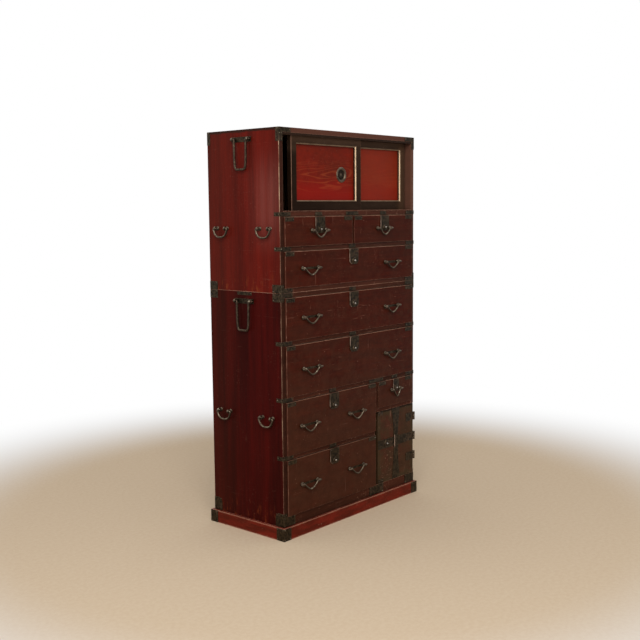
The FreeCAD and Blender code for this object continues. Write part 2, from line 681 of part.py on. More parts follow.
def side_flap(side, y0, y1, z0, z1, clip):
    """Side iron from the case edge y0 inward to y1, with its upper inner corner clipped"""
    inner = side * HALF
    step = clip if y1 < y0 else -clip
    corners = [V(inner, y, z) for y, z in ((y0, z0), (y1, z0), (y1, z1 - clip), (y1 + step, z1), (y0, z1))]
    return Part.Face(Part.makePolygon(corners + corners[:1])).extrude(V(side * IRON_T, 0, 0))


def corner(side, z0, z1, board_z0, board_z1, width):
    """Corner irons of a section: front flap on a board edge and two side flaps"""
    return [edge_iron(side, CORNER_FRONT_W, board_z0, board_z1),
            side_iron(side, 0, width, z0, z1),
            side_iron(side, CASE_D - width, CASE_D, z0, z1)]


def edge_flap(side, z0, z1):
    """Front flap on the edge of a side board"""
    return edge_iron(side, SIDE_T - IRON_EDGE, z0, z1)


def staple(name):
    """Lock staple on the rail above a drawer"""
    x, z = staples[name]
    return front_iron(x - STAPLE_W / 2, x + STAPLE_W / 2, z + IRON_EDGE, z + RAIL_T - IRON_EDGE)


# Iron of the upper case
upper_iron = side_iron_parts["upper"]
for side in (-1, 1):
    upper_iron += strap(side, SHELF_A_Z) + strap(side, SHELF_B_Z)
    upper_iron += corner(side, CASE_TOP_Z - CORNER_H - TOP_T, CASE_TOP_Z - IRON_EDGE,
                         TOP_Z + IRON_EDGE, CASE_TOP_Z - IRON_EDGE, TOP_CORNER_W)
    upper_iron.append(edge_flap(side, CASE_TOP_Z - CORNER_H - TOP_T, TOP_Z + IRON_EDGE))
    upper_iron += corner(side, SEAM_Z + IRON_EDGE, SEAM_Z + CORNER_H,
                         SEAM_Z + IRON_EDGE, DRAWER_B_Z - IRON_EDGE, CORNER_SIDE_W)
    upper_iron.append(edge_flap(side, DRAWER_B_Z - IRON_EDGE, SEAM_Z + CORNER_H))
upper_iron += [staple("a_left"), staple("a_right"), staple("b")]
upper_iron.append(front_iron(-MIDDLE_PLATE_W / 2, MIDDLE_PLATE_W / 2,
                             SHELF_A_Z + IRON_EDGE, DOORWAY_Z - IRON_EDGE))
save("upper_iron", upper_iron)

# Iron of the lower case and its plinth
lower_iron = side_iron_parts["lower"] + fixed_hinges
for side in (-1, 1):
    lower_iron += strap(side, SHELF_D_Z) + strap(side, SHELF_E_Z)
    lower_iron += corner(side, SEAM_Z - CORNER_H, SEAM_Z - IRON_EDGE,
                         LOWER_TOP_Z + IRON_EDGE, SEAM_Z - IRON_EDGE, CORNER_SIDE_W)
    lower_iron.append(edge_flap(side, SEAM_Z - CORNER_H, LOWER_TOP_Z + IRON_EDGE))
    lower_iron.append(edge_iron(side, CORNER_FRONT_W, PLINTH_H + IRON_EDGE, FLOOR_Z - IRON_EDGE))
    for y0, y1 in ((0, CORNER_SIDE_W), (CASE_D, CASE_D - CORNER_SIDE_W)):
        lower_iron.append(side_flap(side, y0, y1, PLINTH_H + IRON_EDGE, PLINTH_H + FOOT_CORNER_H, FOOT_CLIP))
    plate_z = SEAM_Z - CARRY_PLATE_BELOW
    lower_iron.append(side_iron(side, mid_y - CARRY_PLATE_W / 2, mid_y + CARRY_PLATE_W / 2,
                                plate_z - CARRY_PLATE_H, plate_z))
    x0, x1 = sorted((side * (plinth_w + IRON_T), side * (plinth_w - PLINTH_IRON_W)))
    for y0, y1 in ((-PLINTH_LIP - IRON_T, -PLINTH_LIP), (plinth_back, plinth_back + IRON_T)):
        lower_iron.append(block(x0, x1, y0, y1, IRON_EDGE, PLINTH_H - IRON_EDGE))
    for y0, y1 in ((-PLINTH_LIP, PLINTH_IRON_W - PLINTH_LIP), (plinth_back - PLINTH_IRON_W, plinth_back)):
        lower_iron.append(side_iron(side, y0, y1, IRON_EDGE, PLINTH_H - IRON_EDGE, PLINTH_LIP))
lower_iron += strap(-1, RAIL_F_Z)
lower_iron.append(edge_flap(-1, FLOOR_Z - IRON_EDGE, PLINTH_H + FOOT_CORNER_H))
lower_iron += [staple(name) for name in ("c", "d", "e", "f")]
plate_x0 = PARTITION_X + PARTITION_T / 2 - PARTITION_PLATE_W / 2
for z0, z1 in ((PLINTH_H + IRON_EDGE, FLOOR_Z - IRON_EDGE), (SHELF_E_Z + IRON_EDGE, DRAWER_D_Z - IRON_EDGE)):
    lower_iron.append(front_iron(plate_x0, plate_x0 + PARTITION_PLATE_W, z0, z1))
lower_iron.append(staple("g"))
save("lower_iron", lower_iron)
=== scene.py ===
import inspect
import json
import math
from functools import partialmethod

import bmesh
import bpy
from mathutils import Matrix, Vector

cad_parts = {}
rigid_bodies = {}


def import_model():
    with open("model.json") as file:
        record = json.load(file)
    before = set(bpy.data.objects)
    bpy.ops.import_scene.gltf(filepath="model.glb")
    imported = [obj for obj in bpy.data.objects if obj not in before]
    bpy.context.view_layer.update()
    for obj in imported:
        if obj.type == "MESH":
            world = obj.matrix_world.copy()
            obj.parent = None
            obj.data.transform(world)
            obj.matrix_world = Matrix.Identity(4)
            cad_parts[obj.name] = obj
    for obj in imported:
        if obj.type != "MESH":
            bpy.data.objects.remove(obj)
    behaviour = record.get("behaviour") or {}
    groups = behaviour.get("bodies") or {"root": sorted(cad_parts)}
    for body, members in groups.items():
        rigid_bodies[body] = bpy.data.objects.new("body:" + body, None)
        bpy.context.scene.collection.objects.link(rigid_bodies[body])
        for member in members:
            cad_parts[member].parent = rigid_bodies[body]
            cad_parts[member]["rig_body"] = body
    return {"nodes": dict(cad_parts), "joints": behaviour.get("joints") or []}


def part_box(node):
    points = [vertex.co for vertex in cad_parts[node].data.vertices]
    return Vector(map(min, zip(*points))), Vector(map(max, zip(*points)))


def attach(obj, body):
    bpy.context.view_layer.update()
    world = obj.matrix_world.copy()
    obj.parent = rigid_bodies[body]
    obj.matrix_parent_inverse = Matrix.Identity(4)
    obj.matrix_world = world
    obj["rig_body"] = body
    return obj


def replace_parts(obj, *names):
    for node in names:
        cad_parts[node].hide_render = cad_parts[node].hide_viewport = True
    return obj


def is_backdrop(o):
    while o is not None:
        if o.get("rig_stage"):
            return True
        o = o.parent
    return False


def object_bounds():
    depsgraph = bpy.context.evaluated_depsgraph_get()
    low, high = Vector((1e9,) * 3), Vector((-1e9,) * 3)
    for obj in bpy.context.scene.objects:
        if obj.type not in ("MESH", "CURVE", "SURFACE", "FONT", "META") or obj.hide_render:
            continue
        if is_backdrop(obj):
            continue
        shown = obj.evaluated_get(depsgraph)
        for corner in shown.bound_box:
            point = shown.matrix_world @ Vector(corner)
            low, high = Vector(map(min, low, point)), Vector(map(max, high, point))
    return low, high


bl_info = {
    "name": "Lacquered Tansu Chest",
    "version": (1, 0, 0),
    "blender": (4, 5, 0),
    "location": "3D View > Sidebar > Tansu",
    "description": "Dresses a two-section lacquered chest with aged finishes and forged iron",
    "category": "Object",
}

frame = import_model()
CAD_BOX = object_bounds()
NODES = frame["nodes"]
JOINTS = {joint["child"]: joint for joint in frame["joints"]}


def named(start, end=""):
    """Names of the CAD nodes with a given start and end, in order"""
    return sorted(name for name in NODES if name.startswith(start) and name.endswith(end))


IRON_NODES = named("", "_iron")
CASE_IRON = ("upper_iron", "lower_iron")
DRAWERS = [name for name in named("drawer_") if name not in IRON_NODES]
DRAWER_BAILS = named("bail_")
CARRY_BAILS = named("carry_bail_")
SIDE_HANDLES = named("side_handle_")
DOORS = ("left_door", "right_door")
LOW_BAIL = "bail_g"
SMALL_BAILS = ("bail_a_left", "bail_a_right")

# Places and thicknesses in the CAD
CASE_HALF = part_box("upper_sides")[1].x
CASE_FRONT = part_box("upper_sides")[0].y
CASE_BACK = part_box("upper_sides")[1].y
CASE_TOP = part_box("upper_sides")[1].z
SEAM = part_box("upper_sides")[0].z
PLINTH_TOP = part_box("base_plinth")[1].z
BOARD_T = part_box("lower_boards")[0].x + CASE_HALF
TRACK_T = 0.009
DOOR_TOP = CASE_TOP - BOARD_T
DOOR_HEAD = DOOR_TOP - TRACK_T
DRAWER_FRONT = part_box("drawer_b")[0].y
FACE_T = 0.018
PLATE_T = 0.0016
HANDLE_PLATE_T = 0.0015
CARRY_PLATE_T = 0.003
LEAF_WIDE = 0.058
KNUCKLE_R = 0.0057
SIDE_WASHER = 0.0085
BACK_BOARDS = 4

# Depth of the lacquered reveals, and how far within a face its mask begins
REVEAL = 0.06
SKIN = 0.0008

# A face looks straight along an axis when that part of its normal is larger than this
STRAIGHT = 0.9

# Least sides of a nailed plate, the sides that take two nails, and the share of its box that a square one fills
NAILED_SHORT, NAILED_LONG = 0.011, 0.015
TWO_WIDE, TWO_TALL = 0.02, 0.026
SQUARE_SHARE = 0.985

# Share of its box that a round face fills at most, and the widths of a boss and a pin
ROUND_SHARE = 0.92
BOSS_WIDE = (0.022, 0.04)
PIN_WIDE = (0.006, 0.0095)

# Corners round the turned and forged forms, and points along the half of a bail
PULL_SIDES, BOSS_SIDES, PIN_SIDES, KNUCKLE_SIDES, WASHER_SIDES, STEM_SIDES, NAIL_SIDES = 56, 40, 24, 24, 24, 16, 10
ROD_SIDES, EYE_SIDES, EYE_SECTION = 14, 28, 12
CURVE, CARRY_CURVE = 24, 64

# Stage
FLOOR_RADIUS = 14.0
FLOOR_FADE = (1.35, 2.7)
KEY_PLACE = (-3.4, -3.0, 3.6)
KEY_AIM = (0.0, 0.0, 0.9)
KEY_WIDE = 3.0
SENSOR = 36.0


# Sizes and colours that a user would change


def tint(red, green, blue):
    """Colour as the renderer counts it, from screen values of 0 to 255"""
    parts = [value / 255 for value in (red, green, blue)]
    return tuple(p / 12.92 if p <= 0.04045 else ((p + 0.055) / 1.055) ** 2.4 for p in parts)


def colour(name, description, red, green, blue):
    """Colour property with a default in screen values"""
    return bpy.props.FloatVectorProperty(name=name, description=description, default=tint(red, green, blue),
                                         subtype="COLOR", min=0.0, max=1.0, size=3)


def number(name, description, default, **options):
    """Number property"""
    return bpy.props.FloatProperty(name=name, description=description, default=default, **options)


def length(name, description, metres):
    """Length property with a default in metres"""
    return number(name, description, metres, min=0.0, precision=4, subtype="DISTANCE", unit="LENGTH")


def angle(name, description, radians):
    """Angle property with a default in radians"""
    return number(name, description, radians, subtype="ANGLE", unit="ROTATION")


class TANSU_PG_lacquer(bpy.types.PropertyGroup):
    """Colours and wear of the lacquered boards"""

    upper_side: colour("Upper side", "Lacquer on the sides and top of the upper chest", 98, 23, 14)
    upper_deep: colour("Upper side, deep", "Dark streaks in the upper lacquer", 76, 19, 12)
    lower_side: colour("Lower side", "Lacquer on the sides of the lower chest", 67, 12, 9)
    lower_deep: colour("Lower side, deep", "Dark streaks in the lower lacquer", 46, 9, 7)
    front: colour("Fronts", "Lacquer on the drawer fronts", 66, 25, 13)
    front_deep: colour("Fronts, deep", "Dark streaks in the front lacquer", 55, 21, 11)
    rail: colour("Rails", "Lacquer on the rails and edges between the drawers", 74, 38, 26)
    rail_deep: colour("Rails, deep", "Dark streaks in the rails", 56, 29, 19)
    safe: colour("Hinged door", "Lacquer of the hinged door", 84, 39, 28)
    safe_deep: colour("Hinged door, deep", "Dark streaks in the hinged door", 61, 33, 23)
    black: colour("Door frames", "Black lacquer of the sliding door frames", 57, 41, 30)
    # Painted shade: this darkest black darkens the gaps and corners, the lower door frames, the top and sides of the
    # hinged door and the hollow of the pulls
    black_deep: colour("Door frames, deep", "Darkest parts of the black lacquer", 22, 13, 7)
    panel: colour("Door panels", "Bright lacquer of the sliding door panels", 110, 24, 10)
    panel_deep: colour("Door panels, deep", "Dark waves in the door panels", 92, 24, 8)
    panel_bright: colour("Door panels, bright", "Reddest parts of the door panels", 130, 18, 9)
    panel_faded: colour("Door panels, faded", "Orange of the right-hand panel", 150, 50, 28)
    plinth: colour("Plinth", "Lacquer of the plinth", 112, 34, 22)
    plinth_deep: colour("Plinth, deep", "Dark streaks in the plinth", 84, 28, 17)
    worn: colour("Worn edge", "Undercoat that shows where the lacquer has rubbed away", 186, 140, 116)
    ends: colour("Front ends", "Worn ends of the drawer fronts", 84, 42, 33)
    patina: colour("Patina", "Olive patches on the hinged door", 62, 48, 31)
    smoke: colour("Smoke", "Brown patches on the drawer fronts", 66, 38, 25)
    chipped: colour("Chips", "Wood that shows where the lacquer has flaked off", 112, 48, 24)
    cream: colour("Door chamfer", "Pale chamfer of the door frames", 236, 204, 166)
    within: colour("Inside", "Stained wood inside the case", 136, 96, 66)
    within_dark: colour("Inside, dark", "Late grain inside the case", 98, 66, 44)
    bare: colour("Bare wood", "Unlacquered wood inside the drawers", 150, 112, 74)
    bare_dark: colour("Bare wood, dark", "Late grain of the unlacquered wood", 108, 74, 46)
    edge_width: length("Edge width", "Width of the rubbed strip along an edge", 0.0032)
    scuffs: number("Scuffs", "Amount of small chips and scratches", 0.68, min=0.0, max=1.0, subtype="FACTOR")


class TANSU_PG_iron(bpy.types.PropertyGroup):
    """Colours of the forged iron and sizes of its nails"""

    plate: colour("Plate", "Sheet iron", 47, 38, 26)
    plate_rubbed: colour("Plate, rubbed", "Bare metal on the edges of the plates", 112, 96, 74)
    bar: colour("Bar", "Iron of bails, posts and nails", 88, 76, 62)
    rubbed: colour("Bar, rubbed", "Bare metal where hands rub the bails", 202, 186, 160)
    carry: colour("Carrying bails", "Iron of the carrying bails", 60, 49, 38)
    rust: colour("Rust", "Brown rust in the hollows", 62, 40, 26)
    # Painted highlight on the left-facing edges of the lock plates
    dust: colour("Dust", "Pale worn left edges of the lock plates", 180, 150, 132)
    pin: colour("Pin", "Polished lock pin", 178, 172, 164)
    pin_rubbed: colour("Pin, rubbed", "Brightest metal of the lock pin", 220, 214, 204)
    nail_radius: length("Nail head", "Radius of a nail head", 0.0022)
    nail_inset: length("Nail inset", "Distance of a nail from the edges of its plate", 0.0052)


class TANSU_PG_handles(bpy.types.PropertyGroup):
    """Sizes of the swinging handles"""

    span: length("Drawer span", "Distance between the eyes of a drawer bail", 0.096)
    span_small: length("Small drawer span", "Distance between the eyes of the top bails", 0.088)
    span_low: length("Low drawer span", "Distance between the eyes of the smallest bail", 0.062)
    drop: length("Drawer drop", "Fall of a drawer bail below its eyes", 0.028)
    drop_low: length("Low drawer drop", "Fall of the smallest bail", 0.032)
    bar: length("Drawer bar", "Radius of a drawer bail", 0.0034)
    tip: length("Drawer tip", "Length of a bail past its eyes", 0.016)
    tip_bar: length("Drawer tip radius", "Radius of the swollen tip", 0.0044)
    eye: length("Eye", "Outer radius of a drawer handle eye", 0.0064)
    eye_width: length("Eye width", "Width of a drawer handle eye", 0.008)
    out: length("Stand-off", "Distance of a drawer bail from the front", 0.011)
    washer: length("Washer", "Radius of the washer under an eye", 0.0092)
    side_span: length("Side span", "Distance between the eyes of a side handle", 0.058)
    side_drop: length("Side drop", "Fall of a side handle below its eyes", 0.037)
    side_bar: length("Side bar", "Radius of a side handle", 0.0042)
    side_eye: length("Side eye", "Outer radius of a side handle eye", 0.0085)
    side_eye_width: length("Side eye width", "Width of a side handle eye", 0.007)
    side_out: length("Side stand-off", "Distance of a side handle from the case", 0.015)
    carry_span: length("Carry span", "Distance between the eyes of a carrying bail", 0.089)
    carry_arm: length("Carry arm", "Half the width of a carrying bail", 0.034)
    carry_drop: length("Carry drop", "Fall of a carrying bail below its eyes", 0.122)
    carry_bar: length("Carry bar", "Radius of a carrying bail", 0.0048)
    carry_tip: length("Carry tip", "Length of a carrying bail past its eyes", 0.011)
    carry_eye: length("Carry eye", "Outer radius of a carrying bail eye", 0.008)
    carry_eye_width: length("Carry eye width", "Width of a carrying bail eye", 0.009)
    carry_out: length("Carry stand-off", "Distance of a carrying bail from the case", 0.0125)
    spare: length("Neck spare", "Straight bar left free beside an eye", 0.0025)


class TANSU_PG_stage(bpy.types.PropertyGroup):
    """Floor, light and camera"""

    floor: colour("Floor", "Pale floor round the chest", 214, 190, 160)
    sky: number("Sky", "Strength of the even light from all sides", 0.55, min=0.0)
    key: number("Key light", "Power of the large soft light", 150.0, min=0.0, subtype="POWER", unit="POWER")
    lens: number("Lens", "Focal length", 54.14, min=1.0, subtype="DISTANCE_CAMERA")
    place: bpy.props.FloatVectorProperty(name="Camera", description="Place of the camera", unit="LENGTH",
                                         default=(-3.2582, -2.8558, 1.3675), subtype="TRANSLATION")
    yaw: angle("Yaw", "Turn of the camera from +Y towards +X", 0.8534)
    pitch: angle("Pitch", "Lift of the camera's view", -0.1155)
    roll: angle("Roll", "Turn of the camera round its view", -0.009)


def chosen(group):
    """The scene's values of one group"""
    return getattr(bpy.context.scene, "tansu_" + group)


# Shades that the finishes mix in
REAR_SHADE = tint(56, 27, 17)
# Painted sheen: pale colour that stands in for a broad reflection on the upper sides
PALE_WEAR = tint(160, 100, 90)
RIM_SOOT = tint(40, 25, 18)
# Painted light on the jamb inside the doorway
JAMB = tint(102, 70, 56)
CROWN = tint(92, 58, 46)
STRIP = tint(40, 22, 15)
SOFFIT = tint(36, 25, 17)
FRAME_DEEP = tint(46, 32, 22)
# Painted light on the head rail and the right stile of the door frames
FRAME_LIGHT = tint(98, 72, 54)
FIGURE = tint(176, 84, 44)
BACK_LIGHT = tint(112, 76, 50)
BACK_DARK = tint(70, 44, 28)
BACK_JOINT = tint(24, 15, 10)
FLOOR_FIBRE = tint(236, 222, 200)
FLOOR_FAR = (0.9, 0.9, 0.9)
HIGH_UP = (1.0, 0.74, 0.68)
GLINT = (0.75, 0.36, 0.28)
WHITE = (1.0, 1.0, 1.0)

# Grain of the fronts and sides: noise per metre along X, Y and Z
FRONT_GRAIN = (2.2, 14.0, 34.0)
SIDE_GRAIN = (14.0, 24.0, 1.1)


# Shader nodes


class Value:
    """Output of a shader node, with the sums that further nodes do on it

    A comparison gives one or nothing, and a | b is the larger of two.
    """

    def __init__(self, socket):
        self.socket = socket
        self.tree = socket.id_data

    def maths(self, operation, *others):
        """Math node whose first input is this value"""
        return out(self.tree, "Math", dict(enumerate((self, *others))), operation=operation)

    def __rsub__(self, other):
        return out(self.tree, "Math", {0: other, 1: self}, operation="SUBTRACT")

    __add__ = partialmethod(maths, "ADD")
    __sub__ = partialmethod(maths, "SUBTRACT")
    __mul__ = partialmethod(maths, "MULTIPLY")
    __gt__ = partialmethod(maths, "GREATER_THAN")
    __lt__ = partialmethod(maths, "LESS_THAN")
    __or__ = partialmethod(maths, "MAXIMUM")
    __abs__ = partialmethod(maths, "ABSOLUTE")


def feed(socket, value):
    """Link a value to an input, or set the input's own number or colour"""
    if isinstance(value, Value):
        value.tree.links.new(value.socket, socket)
    elif socket.type == "RGBA":
        socket.default_value = (*value[:3], 1.0)
    else:
        socket.default_value = value


def put(tree, kind, feeds=None, **options):
    """Add a shader node with its options and inputs"""
    made = tree.nodes.new("ShaderNode" + kind)
    for key, value in options.items():
        setattr(made, key, value)
    for key, value in (feeds or {}).items():
        feed(made.inputs[key], value)
    return made


def out(tree, kind, feeds=None, key=0, **options):
    """Add a shader node and take one of its outputs"""
    return Value(put(tree, kind, feeds, **options).outputs[key])


def outputs(node):
    """Outputs of a node by name"""
    return {socket.name: Value(socket) for socket in node.outputs}


def axes(vector):
    """X, Y and Z of a vector"""
    return outputs(put(vector.tree, "SeparateXYZ", {0: vector}))


def remap(value, low, high, to_low=0.0, to_high=1.0):
    """Smooth step of a value from one range to another, clamped"""
    feeds = {"Value": value, "From Min": low, "From Max": high, "To Min": to_low, "To Max": to_high}
    return out(value.tree, "MapRange", feeds, interpolation_type="SMOOTHSTEP")


def band(value, start, full, fading, end):
    """One between two limits of a value, with soft ends"""
    return remap(value, start, full) * remap(value, fading, end, 1.0, 0.0)


def mixed(factor, first, second, blend_type="MIX"):
    """Colour between two colours, at least one of the three being a value"""
    feeds = {0: factor, 6: first, 7: second}
    tree = next(value.tree for value in feeds.values() if isinstance(value, Value))
    return out(tree, "Mix", feeds, 2, data_type="RGBA", blend_type=blend_type)


def layered(body, *coats):
    """Colour under further coats, each a mask and a colour"""
    for mask, shade in coats:
        body = mixed(mask, body, shade)
    return body


def shaded(body, tone):
    """Colour times a grey tone"""
    return mixed(1.0, body, tone, "MULTIPLY")


def spread(factor, first, second):
    """Value between two values"""
    return out(factor.tree, "Mix", {0: factor, 2: first, 3: second}, data_type="FLOAT")


def noise(vector, scale, detail=3.0, roughness=0.55, distortion=0.0):
    """Value of a noise texture"""
    feeds = {"Vector": vector, "Scale": scale, "Detail": detail, "Roughness": roughness, "Distortion": distortion}
    return out(vector.tree, "TexNoise", feeds, "Fac")


def stretched(vector, along):
    """Coordinates scaled by a different factor each way"""
    return out(vector.tree, "VectorMath", {0: vector, 1: along}, operation="MULTIPLY")


def drawn(vector, along, detail=3.0, roughness=0.55, distortion=0.0):
    """Noise that is drawn out by a different factor each way"""
    return noise(stretched(vector, along), 1.0, detail, roughness, distortion)


ORIGIN = (0.0, 0.0, 0.0)
EVEN = (1.0, 1.0, 1.0)
GREY = (0.5, 0.5, 0.5, 1.0)


def shader_group(fill):
    """Turn a function of values into one that places it in a tree as a node group, built once

    The defaults of the function give the kinds of the group's inputs.
    """
    defaults = {key: entry.default for key, entry in inspect.signature(fill).parameters.items()}
    labels = {key: key.replace("_", " ").title() for key in defaults}

    def build():
        group = bpy.data.node_groups.new(fill.__name__, "ShaderNodeTree")
        for key, default in defaults.items():
            kind = "Float" if isinstance(default, float) else "Vector" if len(default) == 3 else "Color"
            made = group.interface.new_socket(labels[key], in_out="INPUT", socket_type="NodeSocket" + kind)
            made.default_value = default
        given = outputs(group.nodes.new("NodeGroupInput"))
        results = fill(*(given[label] for label in labels.values()))
        for label, value in results.items():
            kind = "Color" if value.socket.type == "RGBA" else "Float"
            group.interface.new_socket(label, in_out="OUTPUT", socket_type="NodeSocket" + kind)
        end = group.nodes.new("NodeGroupOutput").inputs
        for label, value in results.items():
            feed(end[label], value)
        return group

    def use(tree, **feeds):
        group = bpy.data.node_groups.get(fill.__name__) or build()
        return outputs(put(tree, "Group", {labels[key]: value for key, value in feeds.items()}, node_tree=group))

    return use


@shader_group
def edge_wear(vector=ORIGIN, width=0.003, amount=1.0, upward=0.0):
    """Broken strip along the edges of a piece"""
    tree = vector.tree
    soft = out(tree, "Bevel", {"Radius": width}, samples=6)
    face = out(tree, "NewGeometry", key="Normal")
    turn = out(tree, "VectorMath", {0: soft, 1: face}, "Value", operation="DOT_PRODUCT")
    own = out(tree, "VectorTransform", {0: soft}, vector_type="NORMAL", convert_from="WORLD", convert_to="OBJECT")
    upper = remap(axes(own)["Z"], 0.05, 0.4) * upward * 2.6
    edge = (1.0 - turn) * 3.4 * ((1.0 - upward) + upper)
    patches = noise(vector, 14.0, 4.0, 0.6)
    nicks = noise(vector, 130.0, 3.0, 0.6)
    worn = edge + (patches * 0.75 + nicks * 0.45 - 0.92)
    return {"Mask": remap(worn, 0.0, 0.35) * amount}


@shader_group
def board_streaks(vector=ORIGIN, along=EVEN):
    """Broad and fine streaks that run along a board"""
    where = stretched(vector, along)
    broad = noise(where, 1.0, 3.0, 0.5, 0.25)
    return {"Broad": remap(broad, 0.3, 0.7), "Fine": noise(where, 7.0, 5.0, 0.65)}


@shader_group
def old_scuffs(vector=ORIGIN, amount=0.5):
    """Small chips, pecks and thin scratches"""
    places = remap(noise(vector, 6.0, 3.0), 0.42, 0.68)
    pecks = remap(noise(vector, 210.0, 2.0, 0.4), 0.66, 0.74) * places
    lines = remap(drawn(vector, (9.0, 9.0, 170.0), 2.0, 0.5, 1.5), 0.7, 0.76) * 0.5
    cells = out(vector.tree, "TexVoronoi", {"Vector": vector, "Scale": 38.0, "Randomness": 1.0}, "Distance")
    rare = remap(noise(vector, 11.0, 1.0), 0.55, 0.62)
    dots = remap(cells, 0.045, 0.09, 1.0, 0.0) * rare
    smears = remap(drawn(vector, (85.0, 85.0, 11.0), 2.0, 0.5, 0.4), 0.68, 0.78) * 0.32
    return {"Mask": (pecks | lines | dots | smears) * amount}


@shader_group
def aged_lacquer(vector=ORIGIN, along=EVEN, lacquer=GREY, deep=GREY, worn=GREY, edge_width=0.003, edges=1.0,
                 upward=0.0, scuffs=0.5):
    """Streaked lacquer, scuffed and rubbed through at the edges"""
    tree = vector.tree
    streaks = board_streaks(tree, vector=vector, along=along)
    fine = streaks["Fine"]
    edge = edge_wear(tree, vector=vector, width=edge_width, amount=edges, upward=upward)["Mask"]
    marks = old_scuffs(tree, vector=vector, amount=scuffs)["Mask"]
    body = shaded(mixed(streaks["Broad"], deep, lacquer), remap(fine, 0.25, 0.75, 0.84, 1.14))
    wear = edge | marks
    return {"Colour": layered(body, (marks * 0.8, worn), (edge * 0.85, worn)),
            "Roughness": remap(fine, 0.3, 0.7, 0.3, 0.46) + wear * 0.3,
            "Height": fine * 0.35 - wear,
            "Wear": wear}


@shader_group
def bare_grain(vector=ORIGIN, along=EVEN, light=GREY, dark=GREY):
    """Plain sawn wood with growth lines along the board"""
    where = stretched(vector, along)
    lines = noise(where, 1.0, 4.0, 0.6, 0.6)
    pores = noise(where, 9.0, 3.0, 0.7)
    stain = remap(noise(vector, 5.0, 3.0), 0.3, 0.75)
    body = mixed(remap(lines + pores * 0.35, 0.45, 0.95), light, dark)
    return {"Colour": mixed(stain * 0.35, body, dark), "Roughness": remap(pores, 0.3, 0.7, 0.62, 0.85),
            "Height": pores}


@shader_group
def grime(reach=0.012, amount=0.8):
    """Painted shade in corners and gaps, from ambient occlusion"""
    free = out(reach.tree, "AmbientOcclusion", {"Distance": reach}, "AO", samples=8)
    return {"Mask": remap(free, 0.3, 0.9, 1.0, 0.0) * amount}


@shader_group
def shown_faces(vector=ORIGIN, normal=ORIGIN, half=1.0, front=-1.0, top=10.0):
    """Which faces of the case look outward at its sides, front and top"""
    place, facing = axes(vector), axes(normal)
    ahead = place["Y"] < front
    return {"Side": (abs(place["X"]) > half) * (abs(facing["X"]) > 0.5),
            "Face": ahead * (facing["Y"] < -0.5),
            "Lid": (place["Z"] > top) * (facing["Z"] > 0.5),
            "Ahead": ahead}


@shader_group
def forged_iron(vector=ORIGIN, base=GREY, rust=GREY, rubbed=GREY, edge_width=0.001, bright=0.28, mottle=0.0):
    """Dark scaled iron, rusty in the hollows and rubbed bright on the edges"""
    edge = edge_wear(vector.tree, vector=vector, width=edge_width, amount=1.0)["Mask"]
    scale = noise(vector, 70.0, 4.0, 0.6)
    pits = noise(vector, 420.0, 2.0, 0.5)
    rusty = remap(noise(vector, 22.0, 4.0, 0.65), 0.5, 0.72)
    blotch = remap(noise(vector, 110.0, 2.0, 0.6), 0.36, 0.64, 0.4, 1.75)
    body = shaded(mixed(rusty * 0.7, base, rust), spread(mottle, 1.0, blotch))
    return {"Colour": mixed(remap(scale, 0.52, 0.75) * bright | edge * 0.75, body, rubbed),
            "Roughness": remap(scale, 0.3, 0.7, 0.46, 0.3) + rusty * 0.25,
            "Height": scale + pits * 0.4,
            "Metal": 0.85 - rusty * 0.6}


# Materials


def new_material(name):
    """Empty node material with its surface shader, and the object-space place and normal"""
    material = bpy.data.materials.new(name)
    material.use_nodes = True
    tree = material.node_tree
    tree.nodes.clear()
    shader = put(tree, "BsdfPrincipled")
    put(tree, "OutputMaterial", {"Surface": Value(shader.outputs[0])})
    space = outputs(put(tree, "TexCoord"))
    return material, tree, shader, space["Object"], space["Normal"]


def surface(shader, body, rough, height, bump, depth, gloss):
    """Feed colour, roughness, bump and gloss to a shader"""
    relief = out(body.tree, "Bump", {"Height": height, "Strength": bump, "Distance": depth})
    for key, value in (("Base Color", body), ("Roughness", rough), ("Normal", relief), ("Specular IOR Level", gloss)):
        feed(shader.inputs[key], value)


def lacquered(shader, body, coat, gloss, bump=0.35):
    """Low gloss of old lacquer, with reflections tinted by its own red"""
    surface(shader, body, coat["Roughness"], coat["Height"], bump, 0.0006, gloss)
    feed(shader.inputs["Specular Tint"], GLINT)


def over_wood(shader, body, coat, bare, mask, gloss):
    """Lay lacquer over bare wood where the mask says so"""
    both = {label: spread(mask, bare[label], coat[label]) for label in ("Roughness", "Height")}
    lacquered(shader, mixed(mask, bare["Colour"], body), both, gloss)


def lacquer_coat(place, along, lacquer, deep, edges=1.0, scuffs=1.0, upward=0.0, width=None):
    """One coat of aged lacquer"""
    finish = chosen("lacquer")
    return aged_lacquer(place.tree, vector=place, along=along, lacquer=lacquer, deep=deep, worn=finish.worn,
                        edge_width=width or finish.edge_width, edges=edges, upward=upward,
                        scuffs=finish.scuffs * scuffs)


def soiled(body, reach, amount):
    """Colour with painted shade in its corners and gaps"""
    return mixed(grime(body.tree, reach=reach, amount=amount)["Mask"], body, chosen("lacquer").black_deep)


